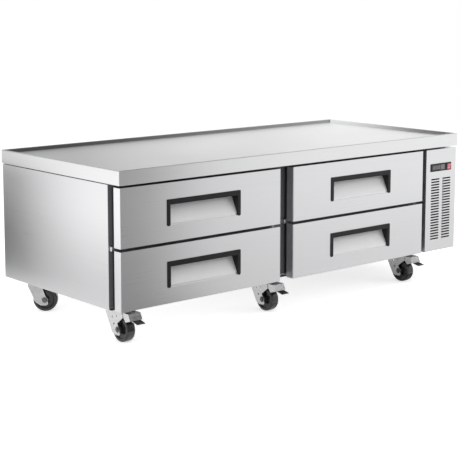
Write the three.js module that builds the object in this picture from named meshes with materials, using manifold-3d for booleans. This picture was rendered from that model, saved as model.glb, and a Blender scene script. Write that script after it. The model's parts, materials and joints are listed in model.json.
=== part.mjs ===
// A refrigerated chef base: a low insulated cabinet on casters, with four drawers for food pans,
// a worktop with a raised marine edge, and a refrigeration unit behind a louvred cover at the right.
// Millimetres. X runs along the cabinet, the front faces -Y and +Z is up. The origin lies on the
// floor, under the middle of the whole, brake pedals included.
import * as THREE from "three";
import { mergeVertices } from "three/addons/utils/BufferGeometryUtils.js";
import Module from "manifold-3d";

// Driving dimensions of the cabinet.
const cabinetLength = 1840;
const cabinetDepth = 800;
const apronHeight = 54;
const drawerStackHeight = 450;
const apronReveal = 9;
const drawerGap = 10.4;
const sideReveal = 9;
const mullionGap = 68;
const unitGap = 21;
const unitWidth = 196;
const faceSetback = 8.4;

// Driving dimensions of the casters, which carry the cabinet.
const wheelRadius = 49;
const wheelTopGap = 24;
const crownThickness = 4;
const racewayHeight = 6;
const mountPlateThickness = 3;
const casterTrail = 42;
const pedalOverhang = 11;

// Sheet thicknesses and the clearances between pieces.
const sheet = 2;
const fit = 0.3;
const seam = 2;
const overrun = 5;
const roundSides = 20;
const smallSides = 8;
const pipeSides = 6;
const motorSides = 12;
const hexSides = 6;
const arcSteps = 1;
const curveSteps = 3;
const weldReach = 0.0005;
const fullTurn = 360;

// Levels, from the floor up.
const bodyBottom = 2 * wheelRadius + wheelTopGap + crownThickness + racewayHeight + mountPlateThickness;
const drawerTop = bodyBottom + drawerStackHeight;
const apronBottom = drawerTop + apronReveal;
const rimTop = apronBottom + apronHeight;
const shellTop = apronBottom - seam;
const drawerHeight = (drawerStackHeight - drawerGap) / 2;
const railLevel = bodyBottom + drawerHeight + drawerGap / 2;

// Places across the cabinet, from left to right.
const left = -cabinetLength / 2;
const right = cabinetLength / 2;
const drawerWidth = (cabinetLength - sideReveal - mullionGap - unitGap - unitWidth) / 2;
const leftDrawerX = left + sideReveal + drawerWidth / 2;
const rightDrawerX = leftDrawerX + drawerWidth + mullionGap;
const coverLeft = right - unitWidth;
const coverMiddle = (coverLeft + right) / 2;
const partitionInset = 12;
const partition = coverLeft + partitionInset;

// The drawers' layers, from the front face back to the frame that the seals close on.
const drawerBoxDepth = 39;
const doorLinerThickness = 10.6;
const gasketThickness = 12.1;
const sealInset = 9;
const sealWidth = 14;
const sealMargin = 1.8;
const front = (pedalOverhang - cabinetDepth) / 2;
const rear = front + cabinetDepth;
const drawerFace = front + faceSetback;
const drawerBack = drawerFace + drawerBoxDepth;
const doorLinerBack = drawerBack + doorLinerThickness;
const gasketBack = doorLinerBack + gasketThickness;
const frameFront = gasketBack + fit;
const frameThickness = 12;
const frameBack = frameFront + frameThickness;
const rearSetback = 10;
const backOuter = rear - rearSetback;
const backInner = backOuter - sheet;

// The insulated bays behind the frame.
const bayOverlap = 34.5;
const floorOverlap = 52;
const rearInsulation = 48;
const bayHalf = drawerWidth / 2 - bayOverlap;
const bayLeft = leftDrawerX - bayHalf;
const bayRight = rightDrawerX + bayHalf;
const bayFloor = bodyBottom + floorOverlap;
const sealBand = sealInset + sealWidth + sealMargin;
const bayCeiling = drawerTop - sealBand;
const bayRear = backInner - rearInsulation - sheet;
const evaporatorDepth = 105;
const evaporatorFront = bayRear - evaporatorDepth;
const midRailHalf = drawerGap / 2 + sealBand;

const wasm = await Module();
wasm.setup();

// Turns a closed three.js geometry into a solid that can be joined and cut.
function solidFrom(geometry) {
  const bare = geometry.clone();
  bare.deleteAttribute("normal");
  bare.deleteAttribute("uv");
  const merged = mergeVertices(bare, weldReach);
  const corners = merged.index.array;
  const kept = [];
  for (let i = 0; i < corners.length; i += 3) {
    const [a, b, c] = corners.slice(i, i + 3);
    if (a !== b && b !== c && c !== a) kept.push(a, b, c);
  }
  const make = (triVerts) =>
    new wasm.Manifold(
      new wasm.Mesh({
        numProp: 3,
        vertProperties: new Float32Array(merged.attributes.position.array),
        triVerts: new Uint32Array(triVerts),
      }),
    );
  const made = make(kept);
  return made.volume() > 0 ? made : make(kept.reverse());
}

// Turns a solid back into a geometry for a mesh.
function geometryFrom(solid) {
  const mesh = solid.getMesh();
  const geometry = new THREE.BufferGeometry();
  geometry.setAttribute("position", new THREE.BufferAttribute(new Float32Array(mesh.vertProperties), 3));
  geometry.setIndex(new THREE.BufferAttribute(new Uint32Array(mesh.triVerts), 1));
  return geometry;
}

// Moves every corner of a geometry to where a function of its old place says.
function reshape(geometry, place) {
  const position = geometry.attributes.position;
  const corner = new THREE.Vector3();
  for (let i = 0; i < position.count; i++) {
    corner.fromBufferAttribute(position, i);
    position.setXYZ(i, ...place(corner));
  }
  return geometry;
}

// A block between two planes on each axis.
function block(x0, x1, y0, y1, z0, z1) {
  const unit = new THREE.BoxGeometry(1, 1, 1);
  return solidFrom(reshape(unit, (p) => [p.x < 0 ? x0 : x1, p.y < 0 ? y0 : y1, p.z < 0 ? z0 : z1]));
}

// Lays a shape drawn in two coordinates square to an axis, and stretches it between two planes.
// Square to x the drawing is (y, z), square to y it is (x, z), and square to z it is (x, y).
function prism(axis, shape, low, high, steps = arcSteps) {
  const unit = new THREE.ExtrudeGeometry(shape, { depth: 1, bevelEnabled: false, curveSegments: steps });
  const along = (p) => (p.z > 0 ? high : low);
  const place = {
    x: (p) => [along(p), p.x, p.y],
    y: (p) => [p.x, along(p), p.y],
    z: (p) => [p.x, p.y, along(p)],
  };
  return solidFrom(reshape(unit, place[axis]));
}

// A shape with straight sides through a few points.
const outline = (...points) => new THREE.Shape(points.map(([u, v]) => new THREE.Vector2(u, v)));

// A rectangle with round corners.
function roundedRect(u0, u1, v0, v1, radius) {
  const shape = new THREE.Shape();
  const quarter = Math.PI / 2;
  shape.absarc(u0 + radius, v0 + radius, radius, 2 * quarter, 3 * quarter);
  shape.absarc(u1 - radius, v0 + radius, radius, -quarter, 0);
  shape.absarc(u1 - radius, v1 - radius, radius, 0, quarter);
  shape.absarc(u0 + radius, v1 - radius, radius, quarter, 2 * quarter);
  shape.closePath();
  return shape;
}

// A regular polygon that stands for a circle, or a real hexagon with six sides.
function circle(u, v, radius, sides) {
  const points = [];
  for (let i = 0; i < sides; i++) {
    const angle = (2 * Math.PI * i) / sides;
    points.push([u + radius * Math.cos(angle), v + radius * Math.sin(angle)]);
  }
  return outline(...points);
}

// A round bar along an axis, between two planes.
const rod = (axis, u, v, radius, low, high, sides = smallSides) =>
  prism(axis, circle(u, v, radius, sides), low, high);

// The radius of a faceted bore in which a bar turns freely, corners included.
const runningBore = (radius, sides = smallSides) => (radius + fit) / Math.cos(Math.PI / sides);

// A solid of revolution about an upright axis, from points given as radius and height.
function turned(points, sides = roundSides) {
  const profile = points.map(([radius, level]) => new THREE.Vector2(radius, level));
  const lathe = new THREE.LatheGeometry(profile, sides);
  return solidFrom(reshape(lathe, (p) => [p.x, -p.z, p.y]));
}

// A solid of revolution about X or Y instead.
const turnedAlongX = (points, sides) => turned(points, sides).rotate([0, fullTurn / 4, 0]);
const turnedAlongY = (points, sides) => turned(points, sides).rotate([-fullTurn / 4, 0, 0]);

// A round tube or bar bent along a smooth curve.
function pipe(points, radius, steps, sides = pipeSides) {
  const path = new THREE.CatmullRomCurve3(points.map((p) => new THREE.Vector3(...p)));
  const geometry = new THREE.ExtrudeGeometry(circle(0, 0, radius, sides), {
    steps,
    extrudePath: path,
    bevelEnabled: false,
  });
  return solidFrom(geometry);
}

const join = (...solids) => solids.flat().reduce((whole, piece) => whole.add(piece));
const cut = (solid, ...tools) => solid.subtract(join(...tools));

// The finishes, as colours with a roughness and a metalness.
const finishes = {
  stainless: { color: 0xb9bbbe, roughness: 0.35, metalness: 1 },
  innerSteel: { color: 0xc4c6c8, roughness: 0.4, metalness: 1 },
  foam: { color: 0xd9c48a, roughness: 0.9, metalness: 0 },
  darkFrame: { color: 0x26262a, roughness: 0.6, metalness: 0 },
  blackPlastic: { color: 0x2f2f30, roughness: 0.5, metalness: 0 },
  greyPlastic: { color: 0x45464a, roughness: 0.45, metalness: 0 },
  redPlastic: { color: 0xc8323c, roughness: 0.35, metalness: 0 },
  gasketRubber: { color: 0x505154, roughness: 0.8, metalness: 0 },
  wheelRubber: { color: 0x26272a, roughness: 0.75, metalness: 0 },
  zinc: { color: 0xc9cbcc, roughness: 0.3, metalness: 1 },
  blackEnamel: { color: 0x1c1c1e, roughness: 0.4, metalness: 0.2 },
  aluminium: { color: 0xd0d2d4, roughness: 0.4, metalness: 1 },
};

const chefBase = new THREE.Group();

// Adds one named piece to a group.
function addPiece(group, name, solid, finish) {
  const mesh = new THREE.Mesh(geometryFrom(solid), new THREE.MeshStandardMaterial(finishes[finish]));
  mesh.name = name;
  group.add(mesh);
  return mesh;
}

// Worktop: one folded sheet, with a raised rim all round, a deep apron and a hem under the apron.
const rimHeight = 13;
const rimWidth = 9;
const rimSlope = 9;
const apronCorner = 4;
const hemWidth = 14;
const worktopFace = rimTop - rimHeight;

function makeWorktop() {
  const pan = prism("z", roundedRect(left, right, front, rear, apronCorner), apronBottom, rimTop);
  const inset = rimWidth + rimSlope;
  const tray = new THREE.ExtrudeGeometry(
    roundedRect(left + inset, right - inset, front + inset, rear - inset, apronCorner),
    {
      depth: rimHeight,
      bevelThickness: rimHeight,
      bevelSize: rimSlope,
      bevelSegments: 1,
      curveSegments: arcSteps,
    },
  );
  tray.translate(0, 0, rimTop);
  const hollow = block(left + sheet, right - sheet, front + sheet, rear - sheet,
    apronBottom + sheet, worktopFace - sheet);
  const mouthInset = sheet + hemWidth;
  const mouth = block(left + mouthInset, right - mouthInset, front + mouthInset, rear - mouthInset,
    apronBottom - overrun, worktopFace - sheet);
  return cut(pan, solidFrom(tray), hollow, mouth);
}
addPiece(chefBase, "worktop", makeWorktop(), "stainless");

// Outer shell: the bottom, left side, back, right side and the partition to the unit's compartment.
const lipDepth = 12;
const unitFlange = 15;
const unitHeader = 26;

function makeOuterShell() {
  const bottom = block(left, right, frameFront, backOuter, bodyBottom, bodyBottom + sheet);
  const lip = block(left, coverLeft - unitGap, frameFront - lipDepth, frameFront,
    bodyBottom, bodyBottom + sheet);
  const leftSide = block(left, left + sheet, frameFront, backOuter, bodyBottom, shellTop);
  const rightSide = block(right - sheet, right, frameFront, backOuter, bodyBottom, shellTop);
  const back = block(left, partition + sheet, backInner, backOuter, bodyBottom, shellTop);
  const divider = block(partition, partition + sheet, frameFront, backOuter, bodyBottom, shellTop);
  const leftFlange = block(partition, partition + sheet + unitFlange, frameFront, frameFront + sheet,
    bodyBottom, shellTop);
  const rightFlange = block(right - sheet - unitFlange, right, frameFront, frameFront + sheet,
    bodyBottom, shellTop);
  const header = block(partition, right, frameFront, frameFront + sheet, shellTop - unitHeader, shellTop);
  const rearLeftFlange = block(partition, partition + sheet + unitFlange, backInner - sheet, backInner,
    bodyBottom, shellTop);
  const rearRightFlange = block(right - sheet - unitFlange, right, backInner - sheet, backInner,
    bodyBottom, shellTop);
  const rearHeader = block(partition, right, backInner - sheet, backInner, shellTop - unitHeader, shellTop);
  return join(bottom, lip, leftSide, rightSide, back, divider, leftFlange, rightFlange, header,
    rearLeftFlange, rearRightFlange, rearHeader);
}
addPiece(chefBase, "outer_shell", makeOuterShell(), "stainless");

// Insulation: foam between the shell and the liner, and a slab of it inside the worktop.
function makeInsulation() {
  const body = block(left + sheet, partition, frameBack, backInner, bodyBottom + sheet, shellTop);
  const neck = block(left + sheet + hemWidth, partition, frameBack, backInner - hemWidth,
    shellTop - seam, apronBottom + sheet);
  const slab = block(left + sheet, right - sheet, front + sheet, rear - sheet,
    apronBottom + sheet, worktopFace - sheet);
  const bay = block(bayLeft - sheet, bayRight + sheet, frameBack - overrun, bayRear + sheet,
    bayFloor - sheet, bayCeiling + sheet);
  return cut(join(body, neck, slab), bay);
}
addPiece(chefBase, "insulation_foam", makeInsulation(), "foam");

// Inner liner: the cold compartment's walls, one tray open at the front.
function makeInnerLiner() {
  const outer = block(bayLeft - sheet, bayRight + sheet, frameBack, bayRear + sheet,
    bayFloor - sheet, bayCeiling + sheet);
  const inner = block(bayLeft, bayRight, frameBack - overrun, bayRear, bayFloor, bayCeiling);
  return cut(outer, inner);
}
addPiece(chefBase, "inner_liner", makeInnerLiner(), "innerSteel");

// Front frame: the dark frame that the drawers' seals close on, with a mullion between the bays
// and a bright rail behind the gap between the upper and the lower drawer.
const railBarHeight = 16;
const railBarDepth = 15;
const railBarOverhang = 4;
const openingCorner = 6;

function makeFrontFrame() {
  const plate = block(left + sheet, partition, frameFront, frameBack, bodyBottom + sheet, shellTop);
  const openings = [leftDrawerX, rightDrawerX].flatMap((x) => [
    roundedRect(x - bayHalf, x + bayHalf, bayFloor, railLevel - midRailHalf, openingCorner),
    roundedRect(x - bayHalf, x + bayHalf, railLevel + midRailHalf, bayCeiling, openingCorner),
  ]).map((shape) => prism("y", shape, frameFront - overrun, frameBack + overrun));
  const bars = [leftDrawerX, rightDrawerX].map((x) => {
    const half = drawerWidth / 2 + railBarOverhang;
    return block(x - half, x + half, frameFront - railBarDepth, frameFront,
      railLevel - railBarHeight / 2, railLevel + railBarHeight / 2);
  });
  return join(cut(plate, openings), bars);
}
addPiece(chefBase, "front_frame", makeFrontFrame(), "darkFrame");

// Unit covers: sheet metal pans with rows of slots that let air through the condenser.
const slotHeight = 6;
const slotPitch = 12;
const slotRows = 23;
const slotWidth = 56;
const slotColumnSpacing = 73.5;
const slotFloor = 54;
const rearSlotRows = 6;
const rearSlotPitch = 36;
const rearSlotFloor = 120;
const panelHeight = 34;
const panelWidth = 134;
const panelBase = 353;
const panelMiddle = coverMiddle - 2;
const coverBack = frameFront - fit;

// A slot's two ends, and the four corners that stand for each round end.
const slotEndAngles = [0, Math.PI];
const slotEndTurns = [-Math.PI / 2, -Math.PI / 6, Math.PI / 6, Math.PI / 2];

// Two columns of slots with round ends, as cutters through a plate square to Y.
function slotCutters(firstLevel, rows, pitch, low, high) {
  const radius = slotHeight / 2;
  const cutters = [];
  for (const side of [-1, 1]) {
    const middle = coverMiddle + (side * slotColumnSpacing) / 2;
    for (let row = 0; row < rows; row++) {
      const level = firstLevel + row * pitch;
      const straight = slotWidth / 2 - radius;
      const points = slotEndAngles.flatMap((end) => slotEndTurns.map((turn) => [
        middle + Math.cos(end) * straight + radius * Math.cos(end + turn),
        level + radius * Math.sin(end + turn),
      ]));
      cutters.push(prism("y", outline(...points), low, high));
    }
  }
  return cutters;
}

// The window for the control panel's body.
const panelBodyInset = 2;
const panelBottom = bodyBottom + panelBase;
const panelLeft = panelMiddle - panelWidth / 2;
const panelRight = panelMiddle + panelWidth / 2;

function makeUnitFrontCover() {
  const pan = block(coverLeft, right, drawerFace, coverBack, bodyBottom, drawerTop);
  const hollow = block(coverLeft + sheet, right - sheet, drawerFace + sheet, coverBack + overrun,
    bodyBottom + sheet, drawerTop - sheet);
  const window = block(panelLeft + panelBodyInset, panelRight - panelBodyInset, drawerFace - overrun,
    drawerFace + sheet + overrun, panelBottom + panelBodyInset, panelBottom + panelHeight - panelBodyInset);
  const slots = slotCutters(bodyBottom + slotFloor, slotRows, slotPitch, drawerFace - overrun,
    drawerFace + sheet + overrun);
  return cut(pan, hollow, window, slots);
}
addPiece(chefBase, "unit_front_cover", makeUnitFrontCover(), "stainless");

function makeUnitBackCover() {
  const plate = block(partition + sheet, right - sheet, backInner, backOuter, bodyBottom + sheet, shellTop);
  const slots = slotCutters(bodyBottom + rearSlotFloor, rearSlotRows, rearSlotPitch, backInner - overrun,
    backOuter + overrun);
  return cut(plate, slots, glandHole());
}

// Cable gland in the back cover, where the supply enters.
const glandRadius = 11;
const glandBore = 4.5;
const glandStem = 8;
const glandHeight = 46;
const glandFlange = 4;
const glandProud = 9.5;
const glandX = coverMiddle + unitWidth / 4;
const glandZ = bodyBottom + glandHeight;
const glandHole = () =>
  rod("y", glandX, glandZ, glandStem + fit, backInner - overrun, backOuter + overrun);

function makeCableGland() {
  const nut = prism("y", circle(glandX, glandZ, glandRadius, hexSides), backOuter + fit,
    backOuter + glandFlange);
  const dome = turnedAlongY([[0, 0], [glandRadius, 0], [glandStem, glandProud - glandFlange],
    [0, glandProud - glandFlange]], smallSides).translate([glandX, backOuter + glandFlange, glandZ]);
  const stem = rod("y", glandX, glandZ, glandStem, backInner - glandFlange, backOuter + glandFlange);
  const lockNut = prism("y", circle(glandX, glandZ, glandRadius, hexSides), backInner - sheet - glandFlange,
    backInner - sheet / 2);
  const bore = rod("y", glandX, glandZ, glandBore, backInner - glandFlange * 3, rear + overrun);
  return cut(join(nut, dome, stem, lockNut), bore);
}
addPiece(chefBase, "unit_back_cover", makeUnitBackCover(), "stainless");
addPiece(chefBase, "cable_gland", makeCableGland(), "blackPlastic");

// Control panel: a black fascia with a window for the thermostat and one for the power switch.
const panelProud = 3;
const panelCorner = 2;
const panelBodyDepth = 26;
const bezelWidth = 4;
const thermostatWidth = 88;
const thermostatDepth = 58;
const displayRecess = 1;
const switchWidth = 24;
const rockerWidth = 21;
const rockerProud = 6;
const rockerThroat = 4.5;
const rockerHeel = 6;
const rockerHeelHalf = 8;
const rockerPlay = 0.8;
const rockerTilt = 7;
const panelTop = panelBottom + panelHeight;
const panelFace = drawerFace - panelProud;
const windowBottom = panelBottom + bezelWidth;
const windowTop = panelTop - bezelWidth;
const thermostatLeft = panelLeft + bezelWidth;
const thermostatRight = thermostatLeft + thermostatWidth;
const switchRight = panelRight - bezelWidth;
const switchLeft = switchRight - switchWidth;
const switchMiddle = (switchLeft + switchRight) / 2;
const switchLevel = (windowBottom + windowTop) / 2;

function makeControlPanel() {
  const fascia = prism("y", roundedRect(panelLeft, panelRight, panelBottom, panelTop, panelCorner),
    panelFace, drawerFace);
  const inset = panelBodyInset + fit;
  const body = block(panelLeft + inset, panelRight - inset, drawerFace, drawerFace + panelBodyDepth,
    panelBottom + inset, panelTop - inset);
  const module = block(thermostatLeft, thermostatRight, panelFace - overrun,
    drawerFace + panelBodyDepth + overrun, windowBottom, windowTop);
  const well = block(switchLeft, switchRight, panelFace - overrun, drawerFace + panelBodyDepth - sheet,
    windowBottom, windowTop);
  const studHalf = rockerWidth / 2 + fit;
  const studs = [-1, 1].map((side) => {
    const wall = switchMiddle + side * (switchWidth / 2);
    const tip = switchMiddle + side * studHalf;
    return rod("x", drawerFace, switchLevel, sheet, Math.min(wall, tip), Math.max(wall, tip));
  });
  return join(cut(join(fascia, body), module, well), studs);
}
addPiece(chefBase, "control_panel", makeControlPanel(), "blackPlastic");

function makeThermostat() {
  const module = block(thermostatLeft + fit, thermostatRight - fit, panelFace + displayRecess / 2,
    drawerFace + thermostatDepth, windowBottom + fit, windowTop - fit);
  const lensInset = bezelWidth * 2;
  const lens = block(thermostatLeft + lensInset, thermostatRight - thermostatWidth / 3, panelFace - overrun,
    panelFace + displayRecess * 2, windowBottom + bezelWidth, windowTop - bezelWidth);
  return cut(module, lens);
}
addPiece(chefBase, "thermostat", makeThermostat(), "greyPlastic");

// Power switch: a rocker on two studs, tilted to its off position at rest.
function makeRocker() {
  const half = (windowTop - windowBottom) / 2 - rockerPlay;
  const profile = outline([-rockerProud, -half], [sheet, -half], [rockerHeel, -rockerHeelHalf],
    [rockerHeel, rockerHeelHalf], [sheet, half], [-rockerProud, half], [-rockerThroat, 0]);
  const body = prism("x", profile, -rockerWidth / 2, rockerWidth / 2);
  const bore = rod("x", 0, 0, sheet + fit, -switchWidth, switchWidth);
  return cut(body, bore).rotate([rockerTilt, 0, 0]);
}
const rockerGroup = new THREE.Group();
rockerGroup.position.set(switchMiddle, drawerFace, switchLevel);
addPiece(rockerGroup, "power_switch", makeRocker(), "redPlastic");
chefBase.add(rockerGroup);

// Drawers: an insulated front with a slanting pocket, a black handle over it, a seal and a pan frame.
const handleWidth = 354;
const handleHeight = 99;
const handleDrop = 62;
const handleLip = 15;
const handleWall = 3;
const handleProud = 3;
const barHeight = 20;
const barDepth = 13;
const gripHook = 7;
const pocketDepth = 38;
const pocketShoulder = 14;
const faceCorner = 3;
const lipCorner = 6;
const gasketCorner = 10;
const handleTop = drawerHeight - handleDrop;
const handleBottom = handleTop - handleHeight;
const pocketHalf = handleWidth / 2 - handleLip + handleWall;

// The pocket's side view, shrunk by a margin for what stands inside it.
const pocketOutline = (margin) => {
  const top = handleTop - handleWall - margin;
  const deep = drawerFace + pocketDepth - margin;
  return outline(
    [drawerFace - margin, handleBottom + handleWall + margin],
    [deep, top - pocketShoulder],
    [deep, top],
    [drawerFace - margin, top],
  );
};

function makeDrawerFront() {
  const half = drawerWidth / 2;
  const skin = new THREE.Shape();
  const quarter = Math.PI / 2;
  skin.absarc(-half + faceCorner, drawerFace + faceCorner, faceCorner, 2 * quarter, 3 * quarter);
  skin.absarc(half - faceCorner, drawerFace + faceCorner, faceCorner, -quarter, 0);
  skin.lineTo(half, drawerBack);
  skin.lineTo(-half, drawerBack);
  skin.closePath();
  const box = prism("z", skin, 0, drawerHeight);
  const liner = block(-half + sealInset, half - sealInset, drawerBack, doorLinerBack,
    sealInset, drawerHeight - sealInset);
  const pocket = prism("x", pocketOutline(0), -pocketHalf, pocketHalf);
  const mouth = block(-pocketHalf, pocketHalf, drawerFace - overrun, drawerFace + handleWall,
    handleBottom + handleWall, handleTop - handleWall);
  return cut(join(box, liner), pocket, mouth);
}

function makeHandle() {
  const half = handleWidth / 2;
  const face = drawerFace - fit;
  const proudFace = drawerFace - handleProud;
  const bar = new THREE.Shape();
  bar.moveTo(face, handleTop);
  bar.absarc(proudFace + sheet, handleTop - sheet, sheet, Math.PI / 2, Math.PI);
  bar.lineTo(proudFace, handleTop - barHeight + sheet);
  bar.lineTo(proudFace + sheet, handleTop - barHeight);
  bar.lineTo(drawerFace + barDepth - gripHook, handleTop - barHeight);
  bar.lineTo(drawerFace + barDepth, handleTop - barHeight + gripHook);
  bar.lineTo(drawerFace + barDepth, handleTop - handleWall - fit);
  bar.lineTo(face, handleTop - handleWall - fit);
  const inner = pocketHalf - fit;
  const topBar = prism("x", bar, -inner, inner);
  const flange = prism("y", roundedRect(-half, half, handleTop - barHeight, handleTop, lipCorner / 2),
    proudFace, face);
  const sides = [-1, 1].flatMap((side) => {
    const outer = side * half;
    const innerEdge = side * (half - handleLip);
    const wallOuter = side * inner;
    const wallInner = side * (inner - handleWall);
    return [
      prism("y", roundedRect(Math.min(outer, innerEdge), Math.max(outer, innerEdge), handleBottom, handleTop,
        lipCorner), proudFace, face),
      prism("x", pocketOutline(fit * 2), Math.min(wallOuter, wallInner), Math.max(wallOuter, wallInner)),
      block(Math.min(wallOuter, wallInner), Math.max(wallOuter, wallInner), face - sheet / 2,
        drawerFace + handleWall, handleBottom + handleWall * 2, handleTop - handleWall - fit),
    ];
  });
  return join(topBar, flange, sides);
}

function makeGasket() {
  const half = drawerWidth / 2 - sealInset;
  const top = drawerHeight - sealInset;
  const outer = roundedRect(-half, half, sealInset, top, gasketCorner);
  outer.holes.push(roundedRect(-half + sealWidth, half - sealWidth, sealInset + sealWidth, top - sealWidth,
    gasketCorner / 2));
  return prism("y", outer, doorLinerBack, gasketBack);
}

// The slides: rollers on the cabinet's channels at the front and on the drawer's runners at the rear.
// A drawer travels until its rear rollers reach the front ones.
const slideWidth = 14;
const channelHeight = 32;
const channelDepth = 12;
const rollerRadius = 9;
const rollerWidth = 6;
const runnerLift = 5.3;
const postWidth = 20;
const frontRollerInset = 11;
const panRimLevel = 180;
const frameWebHeight = 50;
const runnerLevel = 150;
const panRearRoom = 28.6;
const rearRollerInset = 11;
const panLedge = 10;
const dividerWidth = 20;
const rackInset = 1;
const panFrameStart = frameFront + panLedge;
const panFrameHalf = bayHalf - slideWidth - fit;
const panFrameEnd = evaporatorFront - panRearRoom;
const rackStart = frameBack + rackInset;
const frontRollerY = rackStart + frontRollerInset;
const rearRollerY = panFrameEnd - rearRollerInset;
const rollerDrop = channelHeight / 2 - sheet - rollerRadius - fit;

function makePanFrame() {
  const half = panFrameHalf;
  const base = panRimLevel - frameWebHeight;
  const rim = panRimLevel;
  const mountPlate = block(-half, half, doorLinerBack, doorLinerBack + sheet, base, rim);
  const rearWeb = block(-half, half, panFrameEnd - sheet, panFrameEnd, base, rim);
  const frontLedge = block(-half, half, doorLinerBack, panFrameStart, rim - sheet, rim);
  const rearLedge = block(-half, half, panFrameEnd - sheet - panLedge, panFrameEnd, rim - sheet, rim);
  const divider = block(-dividerWidth / 2, dividerWidth / 2, doorLinerBack, panFrameEnd, rim - sheet, rim);
  const dividerWeb = block(-sheet / 2, sheet / 2, panFrameStart, panFrameEnd, rim - dividerWidth, rim);
  const sides = [-1, 1].flatMap((side) => {
    const across = (near, far) => [side * near, side * far].sort((a, b) => a - b);
    const web = across(half - sheet, half);
    const ledge = across(half - sheet - panLedge, half);
    const runner = across(half, half + slideWidth - sheet - sheet);
    const roller = across(half, half + slideWidth - sheet - sheet - fit);
    return [
      block(...web, doorLinerBack, panFrameEnd, base, rim),
      block(...ledge, doorLinerBack, panFrameEnd, rim - sheet, rim),
      block(...runner, panFrameStart, rearRollerY, runnerLevel + runnerLift,
        runnerLevel + runnerLift + sheet),
      rod("x", rearRollerY, runnerLevel - rollerDrop, rollerRadius, ...roller),
      block(...web, rearRollerY - rollerRadius, rearRollerY + rollerRadius, base, rim),
    ];
  });
  return join(mountPlate, rearWeb, frontLedge, rearLedge, divider, dividerWeb, sides);
}

const drawerLevels = { lower: bodyBottom, upper: bodyBottom + drawerHeight + drawerGap };
const drawerColumns = { left: leftDrawerX, right: rightDrawerX };
const drawerFront = makeDrawerFront();
const handle = makeHandle();
const gasket = makeGasket();
const panFrame = makePanFrame();
for (const [level, z] of Object.entries(drawerLevels)) {
  for (const [column, x] of Object.entries(drawerColumns)) {
    const drawer = new THREE.Group();
    drawer.position.set(x, 0, z);
    const name = `${level}_${column}_drawer`;
    addPiece(drawer, `${name}_front`, drawerFront, "stainless");
    addPiece(drawer, `${name}_handle`, handle, "blackPlastic");
    addPiece(drawer, `${name}_gasket`, gasket, "gasketRubber");
    addPiece(drawer, `${name}_pan_frame`, panFrame, "innerSteel");
    chefBase.add(drawer);
  }
}

// Slide racks: upright posts with a channel for each drawer, on the bay's walls and in its middle.
const rackLength = panFrameEnd - rackStart + postWidth;
const rackMargin = 4;

// One side's posts and channels. The wall is the plane they stand against, and side points into the bay.
function rackSide(wall, side) {
  const across = (near, far) => [wall + side * near, wall + side * far].sort((a, b) => a - b);
  const plate = across(0, sheet);
  const flange = across(0, channelDepth);
  const roller = across(sheet, sheet + rollerWidth);
  const rackEnd = rackStart + rackLength;
  const bottom = bayFloor;
  const top = bayCeiling - rackMargin;
  const pieces = [
    block(...plate, rackStart, rackStart + postWidth, bottom, top),
    block(...plate, rackEnd - postWidth, rackEnd, bottom, top),
  ];
  for (const level of Object.values(drawerLevels)) {
    const middle = level + runnerLevel;
    const high = middle + channelHeight / 2;
    const low = middle - channelHeight / 2;
    pieces.push(
      block(...plate, rackStart, rackEnd, low, high),
      block(...flange, rackStart + postWidth, rackEnd, high - sheet, high),
      block(...flange, rackStart, rackEnd, low, low + sheet),
      rod("x", frontRollerY, middle + runnerLift - rollerRadius - fit, rollerRadius, ...roller),
    );
  }
  return pieces;
}

addPiece(chefBase, "left_slide_rack", join(rackSide(bayLeft, 1)), "innerSteel");
addPiece(chefBase, "right_slide_rack", join(rackSide(bayRight, -1)), "innerSteel");

function makeCentreRack() {
  const leftWall = leftDrawerX + bayHalf;
  const rightWall = rightDrawerX - bayHalf;
  const rackEnd = rackStart + rackLength;
  const top = bayCeiling - rackMargin;
  const ties = [rackStart, rackEnd - sheet].flatMap((y) => [
    block(leftWall, rightWall, y, y + sheet, bayFloor, bayFloor + postWidth),
    block(leftWall, rightWall, y, y + sheet, railLevel - postWidth / 2, railLevel + postWidth / 2),
    block(leftWall, rightWall, y, y + sheet, top - postWidth, top),
  ]);
  return join(rackSide(leftWall, -1), rackSide(rightWall, 1), ties);
}
addPiece(chefBase, "centre_slide_rack", makeCentreRack(), "innerSteel");

// Casters: a bolted plate with a swivel raceway, a pressed fork that turns under it, a wheel that
// trails behind the swivel, and a brake pedal on the three at the front.
const mountPlateLength = 96;
const mountPlateWidth = 66;
const mountPlateCorner = 6;
const mountBoltSpacingX = 42;
const mountBoltSpacingY = 72;
const mountBoltRadius = 5;
const mountBoltHead = 3.5;
const racewayRadius = 24;
const kingPinRadius = 6;
const kingNutRadius = 9;
const kingNutHeight = 6;
const wheelSides = 16;
const treadWidth = 38;
const treadShoulder = 4;
const tyreHeight = 12;
const hubRadius = 15;
const hubRecess = 4;
const axleRadius = 6;
const forkThickness = 3;
const forkPlay = 6.5;
const forkNose = 32;
const forkHeelDrop = 22;
const forkSole = 22;
const forkToeReach = 13;
const forkChin = 28;
const forkNotchRise = 23;
const forkNotchSetback = 2;
const plainForkNose = 20;
const forkOutlines = {
  braked: { rear: 31, heelReach: 38, heelLevel: 41, soleReach: 19 },
  plain: { rear: 25, heelReach: 46, heelLevel: 58, soleReach: 17 },
};
const axleNutRadius = 9;
const axleNutHeight = 6;
const axleLevel = wheelRadius;
const crownBottom = 2 * wheelRadius + wheelTopGap;
const crownTop = crownBottom + crownThickness;
const forkHalf = treadWidth / 2 + forkPlay;
const forkOuter = forkHalf + forkThickness;
const forkFront = -casterTrail - forkNose;
const plainForkFront = -casterTrail + plainForkNose;

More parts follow.
